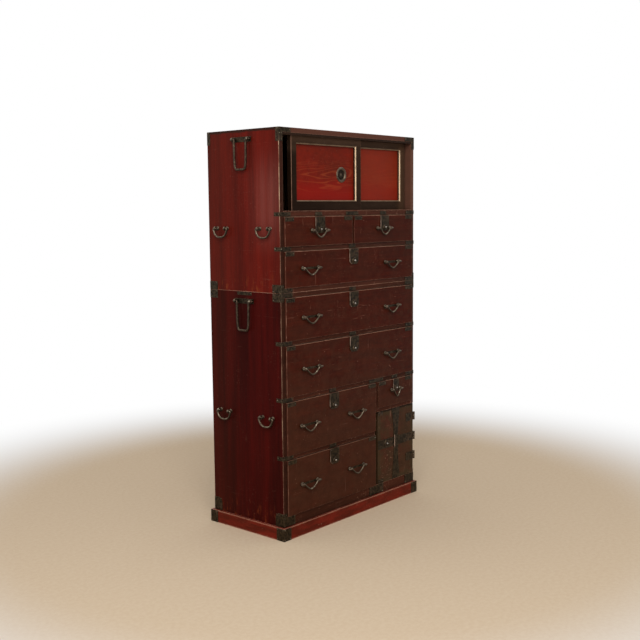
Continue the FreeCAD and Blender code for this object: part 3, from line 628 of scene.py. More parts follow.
def case_lacquer(name, side, deep, top, low, sheen, rubbed, gloss):
    """Case boards: coloured sides, brown front edges and reveals, and stained wood within"""
    finish = chosen("lacquer")
    material, tree, shader, place, facing = new_material(name)
    spot = axes(place)
    faces = shown_faces(tree, vector=place, normal=facing, half=CASE_HALF - SKIN, front=CASE_FRONT + REVEAL,
                        top=top - SKIN)
    joint = band(spot["Y"], CASE_FRONT + 0.006, CASE_FRONT + 0.010, CASE_FRONT + 0.026, CASE_FRONT + 0.030)
    outer = lacquer_coat(place, SIDE_GRAIN, side, deep, 1.0 - joint, 0.22)
    front = lacquer_coat(place, FRONT_GRAIN, finish.rail, finish.rail_deep)
    bare = bare_grain(tree, vector=place, along=(30.0, 6.0, 30.0), light=finish.within, dark=finish.within_dark)
    outward = faces["Side"] | faces["Lid"]
    # Painted shade in the gaps and corners of the rails and front edges
    brown = soiled(doorway(spot, facing, front["Colour"]), 0.014, 0.85)
    red = weathered(place, spot, faces["Lid"], outer["Colour"], low, sheen, rubbed)
    coat = {label: spread(outward, front[label], outer[label]) for label in ("Roughness", "Height")}
    over_wood(shader, mixed(outward, brown, red), coat, bare, outward | faces["Ahead"], gloss)
    return material


def weathered(place, spot, lid, body, low, sheen, rubbed):
    """Side of a chest: dark rear, a pale band of painted sheen near the front, flakes at the foot, soot under the top
    and a rubbed front arris
    """
    finish = chosen("lacquer")
    back, up = spot["Y"], spot["Z"]
    rear = remap(back, CASE_FRONT + 0.18, CASE_BACK - 0.02, 0.0, 0.34)
    # Painted sheen: a pale band near the front at mid-height, in place of a reflection
    pale = band(back, CASE_FRONT - 0.03, CASE_FRONT + 0.02, CASE_FRONT + 0.07, CASE_FRONT + 0.22)
    pale = pale * band(up, low + 0.12, low + 0.32, low + 0.4, low + 0.62)
    streak = remap(drawn(place, (8.0, 30.0, 1.0), 2.0), 0.3, 0.7, 0.4, 1.0)
    flakes = remap(drawn(place, (9.0, 46.0, 14.0), 4.0, 0.65), 0.52, 0.66)
    flakes = flakes * remap(up, low + 0.01, low + 0.1, 0.8, 0.0)
    soot = drawn(place, (20.0, 20.0, 60.0), 3.0, 0.6)
    rim = remap(up + soot * 0.014, CASE_TOP - 0.006, CASE_TOP - 0.001, 0.0, 0.9) * (1.0 - lid * 0.55)
    broken = remap(drawn(place, (30.0, 30.0, 15.0), 4.0, 0.65), 0.38, 0.64, 0.1, 1.0)
    arris = remap(back, CASE_FRONT + 0.0022, CASE_FRONT + 0.0048, 1.0, 0.0) * broken
    arris = arris * (remap(up, low + 0.25, low + 0.42, 0.3, 1.0) * rubbed)
    return layered(body, (rear, REAR_SHADE), (pale * streak * sheen, PALE_WEAR), (flakes, finish.chipped),
                   (rim, RIM_SOOT), (arris, finish.cream))


def doorway(spot, facing, body):
    """Brown edges and reveals, with a black soffit and track over the sliding doors, and painted light that lifts the
    jamb out of the doorway's shade
    """
    across, up = spot["X"], spot["Z"]
    inner = CASE_HALF - BOARD_T - 0.0002
    # Painted light: the jamb inside the doorway is made lighter against its shade
    jamb = (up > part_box("left_door_frame")[0].z) * (across > inner)
    crown = up > DOOR_TOP
    strip = across < -inner
    head = band(up, DOOR_HEAD - 0.0004, DOOR_HEAD, DOOR_TOP - 0.0002, DOOR_TOP)
    soffit = (axes(facing)["Z"] < -0.5) * (up > DOOR_TOP - 0.001)
    dark = (head | soffit) * (abs(across) < inner)
    return layered(body, (jamb * 0.7, JAMB), (crown * 0.65, CROWN), (strip * 0.6, STRIP), (dark * 0.92, SOFFIT))


def front_lacquer(name, front, along, lacquer, deep, patch, ends, smoke, scuffs, rim=None):
    """Drawer fronts and the hinged door: brown lacquer on the front board, bare wood behind it"""
    finish = chosen("lacquer")
    material, tree, shader, place, facing = new_material(name)
    spot = axes(place)
    across, up = spot["X"], spot["Z"]
    faces = shown_faces(tree, vector=place, normal=facing, front=front + FACE_T + 0.0005)
    coat = lacquer_coat(place, along, lacquer, deep, 0.35 if rim else 1.0, scuffs, 0.0 if rim else 0.6,
                        finish.edge_width * 1.5)
    bare = bare_grain(tree, vector=place, along=(40.0, 5.0, 40.0), light=finish.bare, dark=finish.bare_dark)
    sound = 1.0 - coat["Wear"]
    brown = mixed(remap(up, 0.4, 0.9) * sound, coat["Colour"], HIGH_UP, "MULTIPLY")
    mottle = remap(noise(place, 26.0, 3.0, 0.65), 0.42, 0.6, 0.0, smoke)
    patches = remap(noise(place, 4.5, 6.0, 0.66), 0.42, 0.62, 0.0, smoke)
    patches = (patches | mottle) * remap(up, 0.5, 1.1, 1.0, 0.5)
    if rim:
        low, high = rim
        ragged = noise(place, 30.0, 5.0, 0.75) * 0.1
        for value, near, far in ((across, low.x, high.x), (up, low.z, high.z)):
            half = (far - near) / 2
            reach = abs(value - (near + far) / 2) + ragged
            patches = patches | remap(reach, half, half + 0.05)
    brown = layered(brown, (remap(up, 0.25, 0.75, 0.5, 0.0), finish.smoke), (patches * sound, patch))
    brown = shaded(brown, remap(noise(place, 32.0, 4.0, 0.65), 0.36, 0.64, 0.91, 1.09))
    if rim:
        # Painted shadow: a dark band along the top of the hinged door, under the drawer above
        brown = mixed(remap(up, high.z - 0.009, high.z - 0.006, 0.0, 0.8), brown, finish.black_deep)
    # Ends of the front in their own colour: worn on the drawers, painted shade on the hinged door
    sideways = (abs(axes(facing)["X"]) > 0.5) * remap(across, -0.2, 0.0, 1.0, 0.2)
    rubbed = sideways * remap(noise(place, 12.0, 4.0), 0.32, 0.62, 0.2, 0.85)
    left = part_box("drawer_b")[0].x
    broken = remap(drawn(place, (30.0, 30.0, 24.0), 4.0, 0.65), 0.4, 0.64, 0.06, 0.8)
    broken = broken * remap(up, 0.55, 0.9, 0.5, 1.0)
    arris = remap(across, left + 0.0012, left + 0.0028, 1.0, 0.0) * faces["Face"] * broken
    # Painted shade in the gaps and corners round the fronts
    body = soiled(layered(brown, (rubbed, ends), (arris, finish.worn)), 0.01, 0.7)
    over_wood(shader, body, coat, bare, faces["Ahead"], 0.06)
    return material


def plinth_lacquer():
    """Plinth: one coat of lacquer with broad worn edges"""
    finish = chosen("lacquer")
    material, _, shader, place, _ = new_material("plinth_lacquer")
    coat = lacquer_coat(place, (9.0, 9.0, 40.0), finish.plinth, finish.plinth_deep, width=0.012)
    lacquered(shader, coat["Colour"], coat, 0.06)
    return material


def frame_lacquer():
    """Black door frame with pale chamfers round the panel, painted light on its head rail and right stile, and painted
    shade lower down and on its left-facing sides
    """
    finish = chosen("lacquer")
    low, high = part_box("left_door_frame")
    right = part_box("right_door_frame")[1].x
    material, _, shader, place, facing = new_material("black_lacquer")
    coat = lacquer_coat(place, (12.0, 20.0, 30.0), finish.black, FRAME_DEEP, 0.6, 0.4)
    spot, parts = axes(place), axes(facing)
    across, up = spot["X"], spot["Z"]
    patchy = remap(noise(place, 40.0, 3.0), 0.25, 0.6, 0.55, 1.0)
    # Painted light: the head rail lighter against the shade under the top board, and the right stile lighter
    head = remap(up, high.z - 0.034, high.z - 0.008, 0.0, 0.34)
    light = head | remap(across, right - 0.06, right - 0.03, 0.0, 0.5)
    # Painted shade: darker below the head rail, less so towards the right
    foot = remap(up, high.z - 0.085, high.z - 0.05, 0.78, 0.0) * remap(across, low.x, right, 1.0, 0.2)
    # Painted shade on the faces that look left
    left = parts["X"] < -STRAIGHT
    arris = remap(across, low.x + 0.0016, low.x + 0.0034, 0.6, 0.0) * patchy * (parts["Y"] < -STRAIGHT)
    slope = (parts["Y"] < -0.5) * (parts["Y"] > -STRAIGHT)
    chamfer = slope * ((abs(parts["X"]) > 0.4) * 0.75 + 0.22) * patchy
    body = layered(coat["Colour"], (light, FRAME_LIGHT), (foot, finish.black_deep), (left * 0.4, finish.black_deep),
                   (arris, finish.worn), (chamfer, finish.cream))
    lacquered(shader, body, coat, 0.04, 0.3)
    return material


def panel_lacquer():
    """Bright door panel: reddest at the foot, with wavy grain that shows through its lower half"""
    finish = chosen("lacquer")
    low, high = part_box("left_door_panel")
    material, _, shader, place, _ = new_material("bright_lacquer")
    coat = lacquer_coat(place, (5.0, 10.0, 7.0), finish.panel, finish.panel_deep, 0.3, 0.2)
    spot = axes(place)

    def each(left, right):
        """One value on the left panel and another on the right one"""
        return remap(spot["X"], high.x - 0.02, high.x + 0.02, left, right)

    cloud = drawn(place, (6.0, 6.0, 10.0), 3.0, 0.55)
    lower = remap(spot["Z"] + cloud * 0.12, low.z + 0.08, low.z + 0.17, 0.85, 0.0)
    wavy = drawn(place, (1.6, 6.0, 16.0), 2.0, 0.5, 0.3)
    rings = remap((wavy * 70.0).maths("SINE"), 0.55, 1.0)
    figure = rings * band(spot["Z"], low.z + 0.02, low.z + 0.07, low.z + 0.1, low.z + 0.19)
    body = layered(coat["Colour"], (each(0.0, 0.45), finish.panel_faded), (lower * each(1.0, 0.3), finish.panel_bright),
                   (figure * each(0.22, 0.05), FIGURE))
    lacquered(shader, body, coat, 0.1, 0.3)
    return material


def back_wood():
    """Plain brown boards of the case backs, side by side, with dark joints between them"""
    low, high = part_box("upper_back")
    step = (high.x - low.x) / BACK_BOARDS
    material, tree, shader, place, _ = new_material("back_wood")
    spot = axes(place)
    own = spot["X"].maths("DIVIDE", step).maths("FLOOR") + (spot["Z"] > SEAM) * 7.0
    chance = out(tree, "TexWhiteNoise", {"W": own}, "Value", noise_dimensions="1D")
    apart = out(tree, "CombineXYZ", {"Z": own * 3.7})
    grain = out(tree, "VectorMath", {0: place, 1: apart}, operation="ADD")
    bare = bare_grain(tree, vector=grain, along=(36.0, 36.0, 3.0), light=BACK_LIGHT, dark=BACK_DARK)
    body = shaded(bare["Colour"], remap(chance, 0.0, 1.0, 0.72, 1.15))
    upright = remap(spot["X"].maths("PINGPONG", step / 2), 0.0007, 0.0019, 1.0, 0.0)
    joint = upright | remap(abs(spot["Z"] - SEAM), 0.001, 0.0026, 1.0, 0.0)
    body = mixed(joint * 0.85, body, BACK_JOINT)
    surface(shader, body, bare["Roughness"], bare["Height"] - joint, 0.4, 0.0008, 0.2)
    return material


# Irons: their two colours, the width of bright edges, the share of bright metal, the mottling and the painted shade on
# their undersides
PLATE_FINISH = ("plate", "plate_rubbed", 0.0016, 0.16, 0.9, 0.0)
IRONS = {
    "plate_iron": PLATE_FINISH,
    "lock_iron": PLATE_FINISH,
    "safe_iron": PLATE_FINISH,
    "boss_iron": ("plate", "rubbed", 0.0014, 0.16, 0.7, 0.0),
    "pin_iron": ("pin", "pin_rubbed", 0.0006, 0.28, 0.0, 0.0),
    "bar_iron": ("bar", "rubbed", 0.0008, 0.6, 0.5, 0.85),
    "carry_iron": ("carry", "plate_rubbed", 0.0008, 0.5, 0.6, 0.0),
}


def iron_coat(place, base, rubbed, edge_width, bright, mottle):
    """One finish of forged iron"""
    colours = chosen("iron")
    return forged_iron(place.tree, vector=place, base=getattr(colours, base), rust=colours.rust,
                       rubbed=getattr(colours, rubbed), edge_width=edge_width, bright=bright, mottle=mottle)


def iron_surface(shader, body, rough, height, metal):
    """Feed a finish of iron to a shader"""
    surface(shader, body, rough, height, 0.4, 0.0004, 0.2)
    feed(shader.inputs["Metallic"], metal)


def iron(name, ledge=None):
    """One of the irons, with a painted highlight on the left edges where plates stand out from a ledge; built once"""
    material = bpy.data.materials.get(name)
    if material:
        return material
    *finish, soot = IRONS[name]
    colours = chosen("iron")
    material, _, shader, place, facing = new_material(name)
    coat = iron_coat(place, *finish)
    parts = axes(facing)
    # Painted shade: faces that look downwards turn darker
    body = mixed(remap(parts["Z"], -0.25, 0.2, soot, 0.0), coat["Colour"], colours.plate)
    metal = coat["Metal"]
    if ledge is not None:
        # Painted highlight: pale colour on the left-facing edges of plates that stand out from the board
        broken = remap(noise(place, 45.0, 3.0), 0.3, 0.6, 0.25, 0.95)
        dust = (parts["X"] < -0.5) * (axes(place)["Y"] < ledge - 0.0004) * broken
        body = mixed(dust, body, colours.dust)
        metal = metal * (1.0 - dust)
    iron_surface(shader, body, coat["Roughness"], coat["Height"], metal)
    return material


def pull_iron(door, middle, cup):
    """Iron of a round pull: rubbed rim, a cup darkened with painted shade and a rubbed boss in its middle"""
    material, tree, shader, place, _ = new_material(door + "_pull_iron")
    coat = iron_coat(place, "bar", "rubbed", 0.0012, 0.2, 0.6)
    off = out(tree, "VectorMath", {0: place, 1: middle}, operation="SUBTRACT")
    away = out(tree, "VectorMath", {0: stretched(off, (1.0, 0.0, 1.0))}, "Value", operation="LENGTH")
    # Painted shade in the hollow of the cup
    hollow = band(away, 0.004, 0.008, cup - 0.004, cup) * 0.85
    body = mixed(hollow, coat["Colour"], chosen("lacquer").black_deep)
    iron_surface(shader, body, coat["Roughness"] + hollow * 0.3, coat["Height"], coat["Metal"])
    return material


# Mesh forms


def turns(count):
    """Angles of a full turn in even steps"""
    return [2 * math.pi * i / count for i in range(count)]


def skin(work, rings):
    """Faces between the rings of a form, and over both of its ends"""
    for near, far in zip(rings, rings[1:]):
        for i in range(len(near)):
            work.faces.new((near[i - 1], near[i], far[i], far[i - 1]))
    work.faces.new(rings[0])
    work.faces.new(reversed(rings[-1]))


def lathe(work, profile, place, sides):
    """Turned form from pairs of radius and reach, which runs along the place's own -Y"""
    rings = []
    for radius, reach in profile:
        corners = [Vector((radius * math.cos(turn), -reach, radius * math.sin(turn))) for turn in turns(sides)]
        rings.append([work.verts.new(place @ corner) for corner in corners])
    skin(work, rings)


def eye_ring(work, place, outer, inner, width):
    """Rounded eye round the place's own X"""
    def squared(value):
        return math.copysign(abs(value) ** 0.7, value)

    middle = (outer + inner) / 2
    thick = (outer - inner) / 2
    rings = []
    for turn in turns(EYE_SIDES):
        ring = []
        for bend in turns(EYE_SECTION):
            across = squared(math.cos(bend)) * width / 2
            radius = middle + squared(math.sin(bend)) * thick
            ring.append(work.verts.new(place @ Vector((across, radius * math.cos(turn), radius * math.sin(turn)))))
        rings.append(ring)
    for i in range(EYE_SIDES):
        for k in range(EYE_SECTION):
            work.faces.new((rings[i - 1][k - 1], rings[i][k - 1], rings[i][k], rings[i - 1][k]))


def bail_line(half, step, passes):
    """Line of a whole bail, in even steps with its bends smoothed, from its right half given from tip to middle"""
    corners = [Vector((-x, 0.0, z)) for x, z in half] + [Vector((x, 0.0, z)) for x, z in reversed(half[:-1])]
    line = corners[:1]
    for start, end in zip(corners, corners[1:]):
        count = max(1, round((end - start).length / step))
        line += [start.lerp(end, i / count) for i in range(1, count + 1)]
    for _ in range(passes):
        inner = [(line[i - 1] + line[i] * 2 + line[i + 1]) / 4 for i in range(1, len(line) - 1)]
        line = line[:1] + inner + line[-1:]
    return line


def rod(work, line, radius_at, place):
    """Round bar along a line in its own XZ plane, with a radius for each distance from the nearer end"""
    travel = [0.0]
    for start, end in zip(line, line[1:]):
        travel.append(travel[-1] + (end - start).length)
    rings = []
    for i, point in enumerate(line):
        ahead = (line[min(i + 1, len(line) - 1)] - line[max(i - 1, 0)]).normalized()
        across = Vector((-ahead.z, 0.0, ahead.x))
        radius = radius_at(min(travel[i], travel[-1] - travel[i]), travel[-1] / 2)
        offsets = [across * (radius * math.cos(turn)) + Vector((0.0, radius * math.sin(turn), 0.0))
                   for turn in turns(ROD_SIDES)]
        rings.append([work.verts.new(place @ (point + offset)) for offset in offsets])
    skin(work, rings)


def dome(travel, depth):
    """Share of the full radius at a distance from a rounded end"""
    return math.sqrt(max(0.0, 1 - (1 - min(travel / depth, 1.0)) ** 2))


def mesh_of(name, work):
    """Mesh from a bmesh, which is freed"""
    mesh = bpy.data.meshes.new(name)
    work.to_mesh(mesh)
    work.free()
    return mesh


def placed(name, data):
    """New object in the scene"""
    made = bpy.data.objects.new(name, data)
    bpy.context.scene.collection.objects.link(made)
    return made


def piece(name, work, material, body, slot):
    """Turn a bmesh into a smooth mesh piece that rides on a body"""
    bmesh.ops.recalc_face_normals(work, faces=work.faces)
    mesh = mesh_of(name, work)
    mesh.polygons.foreach_set("use_smooth", [True] * len(mesh.polygons))
    mesh.materials.append(material)
    made = placed(name, mesh)
    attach(made, body)
    return made


def dress(node, material):
    """Give a CAD node its finish"""
    made = NODES[node]
    made.data.materials.clear()
    made.data.materials.append(material)


def body_of(node):
    """Name of the body that a node rides on"""
    return NODES[node]["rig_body"]


def flat_faces(node):
    """Lower corner, upper corner, normal and area of each flat face of a CAD node"""
    mesh = NODES[node].data
    parent = list(range(len(mesh.vertices)))

    def root(i):
        while parent[i] != i:
            parent[i] = parent[parent[i]]
            i = parent[i]
        return i

    for polygon in mesh.polygons:
        first = root(polygon.vertices[0])
        for i in polygon.vertices[1:]:
            parent[root(i)] = first
    faces = {}
    for polygon in mesh.polygons:
        fresh = {"corners": set(), "area": 0.0, "facing": polygon.normal.copy()}
        made = faces.setdefault(root(polygon.vertices[0]), fresh)
        made["corners"].update(polygon.vertices)
        made["area"] += polygon.area
    found = []
    for made in faces.values():
        corners = [mesh.vertices[i].co for i in sorted(made["corners"])]
        low = Vector(min(c[k] for c in corners) for k in range(3))
        high = Vector(max(c[k] for c in corners) for k in range(3))
        found.append((low, high, made["facing"], made["area"]))
    return found


def board_front(iron_node):
    """Front of the board that an iron node is nailed to"""
    owner = iron_node[:-len("_iron")]
    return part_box(owner)[0].y if owner in NODES else CASE_FRONT


def facing_matrix(facing):
    """Turn of a form whose own -Y looks out of the front, to look along a normal"""
    return Vector((0.0, -1.0, 0.0)).rotation_difference(facing).to_matrix().to_4x4()


# Operators


class TANSU_OT_case(bpy.types.Operator):
    """Finish the boards of both chests and the plinth"""

    bl_idname = "tansu.case"
    bl_label = "Case boards"

    def execute(self, context):
        finish = chosen("lacquer")
        upper = case_lacquer("red_lacquer", finish.upper_side, finish.upper_deep, top=CASE_TOP, low=SEAM,
                             sheen=0.22, rubbed=0.6, gloss=0.06)
        lower = case_lacquer("dark_lacquer", finish.lower_side, finish.lower_deep, top=SEAM, low=PLINTH_TOP,
                             sheen=0.0, rubbed=0.25, gloss=0.035)
        backs = back_wood()
        for part, material in (("upper", upper), ("lower", lower)):
            for board in ("_sides", "_boards", "_shelves"):
                dress(part + board, material)
            dress(part + "_back", backs)
        dress("base_plinth", plinth_lacquer())
        return {"FINISHED"}


class TANSU_OT_drawers(bpy.types.Operator):
    """Finish the eight drawers"""

    bl_idname = "tansu.drawers"
    bl_label = "Drawers"

    def execute(self, context):
        finish = chosen("lacquer")
        material = front_lacquer("front_lacquer", DRAWER_FRONT, FRONT_GRAIN, finish.front, finish.front_deep,
                                 finish.smoke, finish.ends, smoke=0.5, scuffs=1.0)
        for name in DRAWERS:
            dress(name, material)
        return {"FINISHED"}


class TANSU_OT_sliding_doors(bpy.types.Operator):
    """Finish the sliding doors and turn their round pulls"""

    bl_idname = "tansu.sliding_doors"
    bl_label = "Sliding doors"

    def execute(self, context):
        frame_finish = frame_lacquer()
        panel_finish = panel_lacquer()
        for door in DOORS:
            dress(door + "_frame", frame_finish)
            dress(door + "_panel", panel_finish)
            low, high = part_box(door + "_pull")
            rim = (high.x - low.x) / 2
            deep = high.y - low.y
            middle = Vector(((low.x + high.x) / 2, high.y, (low.z + high.z) / 2))
            cup = rim - 0.009
            work = bmesh.new()
            profile = [(cup, 0.0), (cup, deep - 0.004), (rim, deep - 0.0032), (rim - 0.0008, deep - 0.0018),
                       (rim - 0.003, deep - 0.0008), (rim - 0.005, deep), (cup + 0.001, deep - 0.0006),
                       (cup - 0.0012, deep - 0.0022), (cup - 0.0022, 0.0024), (cup - 0.0042, 0.0015),
                       (cup - 0.008, 0.0016), (cup - 0.0095, 0.0028), (cup - 0.0115, 0.0028), (cup - 0.013, 0.0017),
                       (0.006, 0.002), (0.003, 0.0034), (0.0004, 0.0038)]
            lathe(work, profile, Matrix.Translation(middle), PULL_SIDES)
            made = piece(door + "_round_pull", work, pull_iron(door, middle, cup), door, "iron")
            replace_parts(made, door + "_pull")
        return {"FINISHED"}


class TANSU_OT_safe_door(bpy.types.Operator):
    """Finish the hinged door at the lower right"""

    bl_idname = "tansu.safe_door"
    bl_label = "Hinged door"

    def execute(self, context):
        finish = chosen("lacquer")
        # The hinged door's ends take the painted-shade black, for the gap round it
        material = front_lacquer("safe_door_lacquer", CASE_FRONT, (10.0, 14.0, 24.0), finish.safe, finish.safe_deep,
                                 finish.patina, finish.black_deep, smoke=0.55, scuffs=2.4, rim=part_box("safe_door"))
        dress("safe_door", material)
        return {"FINISHED"}


class TANSU_OT_ironwork(bpy.types.Operator):
    """Finish the iron plates and drive their nails"""

    bl_idname = "tansu.ironwork"
    bl_label = "Ironwork and nails"

    def execute(self, context):
        sizes = chosen("iron")
        for name in IRON_NODES:
            board = board_front(name)
            if name in CASE_IRON:
                dress(name, iron("plate_iron"))
            else:
                dress(name, iron("safe_iron" if name == "safe_door_iron" else "lock_iron", board - PLATE_T))
            work = bmesh.new()
            for low, high, facing, area in flat_faces(name):
                self.nails(work, board, low, high, facing, area, sizes)
            if work.verts:
                piece(name.replace("_iron", "_nails"), work, iron("bar_iron"), body_of(name), "iron")
            else:
                work.free()
        return {"FINISHED"}

    def nails(self, work, board, low, high, facing, area, sizes):
        """Nail heads near the corners of one outward plate face"""
        front = facing.y < -STRAIGHT
        if not front and abs(facing.x) < STRAIGHT:
            return
        if front and low.y > board - 0.0005 or not front and abs(low.x) < CASE_HALF + 0.001:
            return
        if front and low.y < board - 0.0055 and low.z > PLINTH_TOP:
            return
        wide = high.x - low.x if front else high.y - low.y
        tall = high.z - low.z
        if min(wide, tall) < NAILED_SHORT or max(wide, tall) < NAILED_LONG:
            return
        inset = min(sizes.nail_inset, min(wide, tall) / 2)
        rows = [low.z + inset, high.z - inset] if tall > TWO_TALL else [(low.z + high.z) / 2]
        if area < SQUARE_SHARE * wide * tall:
            rows = [high.z - inset]
        start, end = (low.x, high.x) if front else (low.y, high.y)
        ends = [start + inset, end - inset] if wide > TWO_WIDE else [(start + end) / 2]
        radius = sizes.nail_radius
        profile = [(radius, -0.0003), (radius, 0.0002), (radius * 0.86, 0.0007), (radius * 0.55, 0.0011),
                   (radius * 0.15, 0.0012)]
        for z in rows:
            for along in ends:
                spot = Vector((along, low.y, z)) if front else Vector((low.x, along, z))
                lathe(work, profile, Matrix.Translation(spot) @ facing_matrix(facing), NAIL_SIDES)


class TANSU_OT_locks(bpy.types.Operator):
    """Turn the lock bosses and their bright pins"""

    bl_idname = "tansu.locks"
    bl_label = "Lock bosses"

    def execute(self, context):
        for name in IRON_NODES:
            if name in CASE_IRON:
                continue
            owner = name[:-len("_iron")]
            bosses = bmesh.new()
            pins = bmesh.new()
            for low, high, facing, area in flat_faces(name):
                wide = high.x - low.x
                uneven = abs(wide - (high.z - low.z)) > 0.0006
                if facing.y > -STRAIGHT or uneven or area > ROUND_SHARE * wide * wide:
                    continue
                middle = Matrix.Translation(((low.x + high.x) / 2, low.y, (low.z + high.z) / 2))
                if BOSS_WIDE[0] < wide < BOSS_WIDE[1]:
                    self.boss(bosses, wide / 2, middle)
                elif PIN_WIDE[0] < wide < PIN_WIDE[1] and low.y < board_front(name) - 0.006:
                    self.pin(pins, wide / 2, middle)
            piece(owner + "_lock_boss", bosses, iron("boss_iron"), owner, "iron")
            piece(owner + "_lock_pin", pins, iron("pin_iron"), owner, "iron")
        return {"FINISHED"}

    def boss(self, work, radius, middle):
        """Stepped boss with a raised rim and a hollow round the pin"""
        profile = [(radius + 0.0022, -0.004), (radius + 0.002, -0.0032), (radius + 0.0004, -0.0024),
                   (radius + 0.0003, -0.0006), (radius - 0.0006, 0.0003), (radius - 0.0022, 0.0005),
                   (radius - 0.0034, 0.0001), (radius - 0.005, 0.0001), (0.0062, 0.0008), (0.0045, 0.0008),
                   (0.004, 0.0003)]
        lathe(work, profile, middle, BOSS_SIDES)

    def pin(self, work, radius, middle):
        """Domed pin with a small collar"""
        profile = [(radius + 0.0003, -0.0034), (radius + 0.0003, -0.0016), (radius * 0.92, -0.0008),
                   (radius * 0.92, -0.0003), (radius * 0.82, 0.0003), (radius * 0.55, 0.0008), (radius * 0.12, 0.001)]
        lathe(work, profile, middle, PIN_SIDES)


class TANSU_OT_hinges(bpy.types.Operator):
    """Round off the knuckles of the hinged door"""

    bl_idname = "tansu.hinges"
    bl_label = "Hinge knuckles"

    def execute(self, context):
        axis = Vector(JOINTS["safe_door"]["pos_m"])
        levels = sorted({(round(low.z, 5), round(high.z, 5)) for low, high, facing, _ in flat_faces("safe_door_iron")
                         if facing.y < -STRAIGHT and abs(high.x - low.x - LEAF_WIDE) < 0.002})
        third = (levels[0][1] - levels[0][0]) / 3
        door = bmesh.new()
        case = bmesh.new()
        for low, high in levels:
            self.knuckle(door, axis, low + third + 0.0005, high - third - 0.0005)
            self.knuckle(case, axis, low, low + third - 0.0003)
            self.knuckle(case, axis, high - third + 0.0003, high)
        piece("safe_door_knuckles", door, iron("bar_iron"), "safe_door", "iron")
        piece("hinge_knuckles", case, iron("bar_iron"), "case", "iron")
        return {"FINISHED"}

    def knuckle(self, work, axis, low, high):
        """One rounded barrel on the hinge line"""
        tall = high - low
        profile = [(KNUCKLE_R - 0.0012, 0.0), (KNUCKLE_R - 0.0003, 0.0003), (KNUCKLE_R, 0.0012),
                   (KNUCKLE_R, tall - 0.0012), (KNUCKLE_R - 0.0003, tall - 0.0003), (KNUCKLE_R - 0.0012, tall)]
        place = Matrix.Translation((axis.x, axis.y, low)) @ Matrix.Rotation(math.radians(-90), 4, "X")
        lathe(work, profile, place, KNUCKLE_SIDES)


def bail_place(name):
    """Place of a bail's own frame: its X along the eyes, its -Y away from the case"""
    joint = JOINTS[name]
    axis = Vector(joint["axis"])
    turn = 0.0 if abs(axis.x) > 0.5 else math.radians(-90 if axis.y > 0 else 90)
    return Matrix.Translation(Vector(joint["pos_m"])) @ Matrix.Rotation(turn, 4, "Z")


def eye_posts(work, place, span, eye, width, bar, reach, washer):
    """Two eyes on their stems, with a washer under each stem unless its radius is nothing"""
    for end in (-1, 1):
        spot = place @ Matrix.Translation((end * span / 2, 0.0, 0.0))
        eye_ring(work, spot, eye + 0.0003, bar + 0.0004, width + 0.0006)
        stem = [(0.0034, -reach), (0.0042, 0.0015 - reach), (0.0038, 0.004 - reach), (0.0035, -eye + 0.0008)]
        lathe(work, stem, spot, STEM_SIDES)
        if washer:
            seat = [(washer, 0.0004 - reach), (washer, 0.0012 - reach), (washer * 0.86, 0.002 - reach),
                    (washer * 0.6, 0.0023 - reach), (0.0036, 0.0026 - reach)]
            lathe(work, seat, spot, WASHER_SIDES)


def forge(name, line, radius_at, metal, span, eye, width, bar, reach, washer):
    """One bail along a line, and the posts that it hangs in"""
    place = bail_place(name)
    work = bmesh.new()
    rod(work, line, radius_at, place)
    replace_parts(piece(name + "_forged", work, iron(metal), name, "iron"), name)
    posts = bmesh.new()
    eye_posts(posts, place, span, eye, width, bar, reach, washer)
    piece(name + "_posts", posts, iron("bar_iron"), JOINTS[name]["parent"], "iron")


class TANSU_OT_drawer_bails(bpy.types.Operator):
    """Forge the drawer bails and the eyes they hang in"""

    bl_idname = "tansu.drawer_bails"
    bl_label = "Drawer bails"

    def execute(self, context):
        sizes = chosen("handles")
        for name in DRAWER_BAILS:
            low = name == LOW_BAIL
            span = sizes.span_low if low else sizes.span_small if name in SMALL_BAILS else sizes.span
            line = self.line(span, sizes.drop_low if low else sizes.drop, sizes)
            forge(name, line, self.radius(sizes), "bar_iron", span, sizes.eye, sizes.eye_width, sizes.bar,
                  sizes.out - HANDLE_PLATE_T, sizes.washer)
        return {"FINISHED"}

    def line(self, span, drop, sizes):
        """Sag of the bail between straight necks"""
        eye = span / 2
        neck = sizes.eye_width / 2 + sizes.spare
        half = [(eye + sizes.tip, 0.0), (eye - neck, 0.0)]
        for i in range(1, CURVE + 1):
            share = math.cos(math.pi / 2 * i / CURVE)
            half.append(((eye - neck) * share, -drop * (1 - share ** 1.7)))
        return bail_line(half, 0.0012, 10)

    def radius(self, sizes):
        """Swollen tip, slim neck and a belly in the middle"""
        def at(travel, half):
            tip = sizes.tip * 0.62
            if travel < tip:
                share = 1 - travel / tip
                return max(0.0012, sizes.tip_bar * math.sqrt(max(0.0, 1 - (1.25 * share - 0.25) ** 2)))
            if travel < tip + 0.0016:
                return sizes.bar * 0.86
            belly = max(0.0, (travel - 0.03) / (half - 0.03))
            return sizes.bar * (0.94 + 0.14 * belly)

        return at


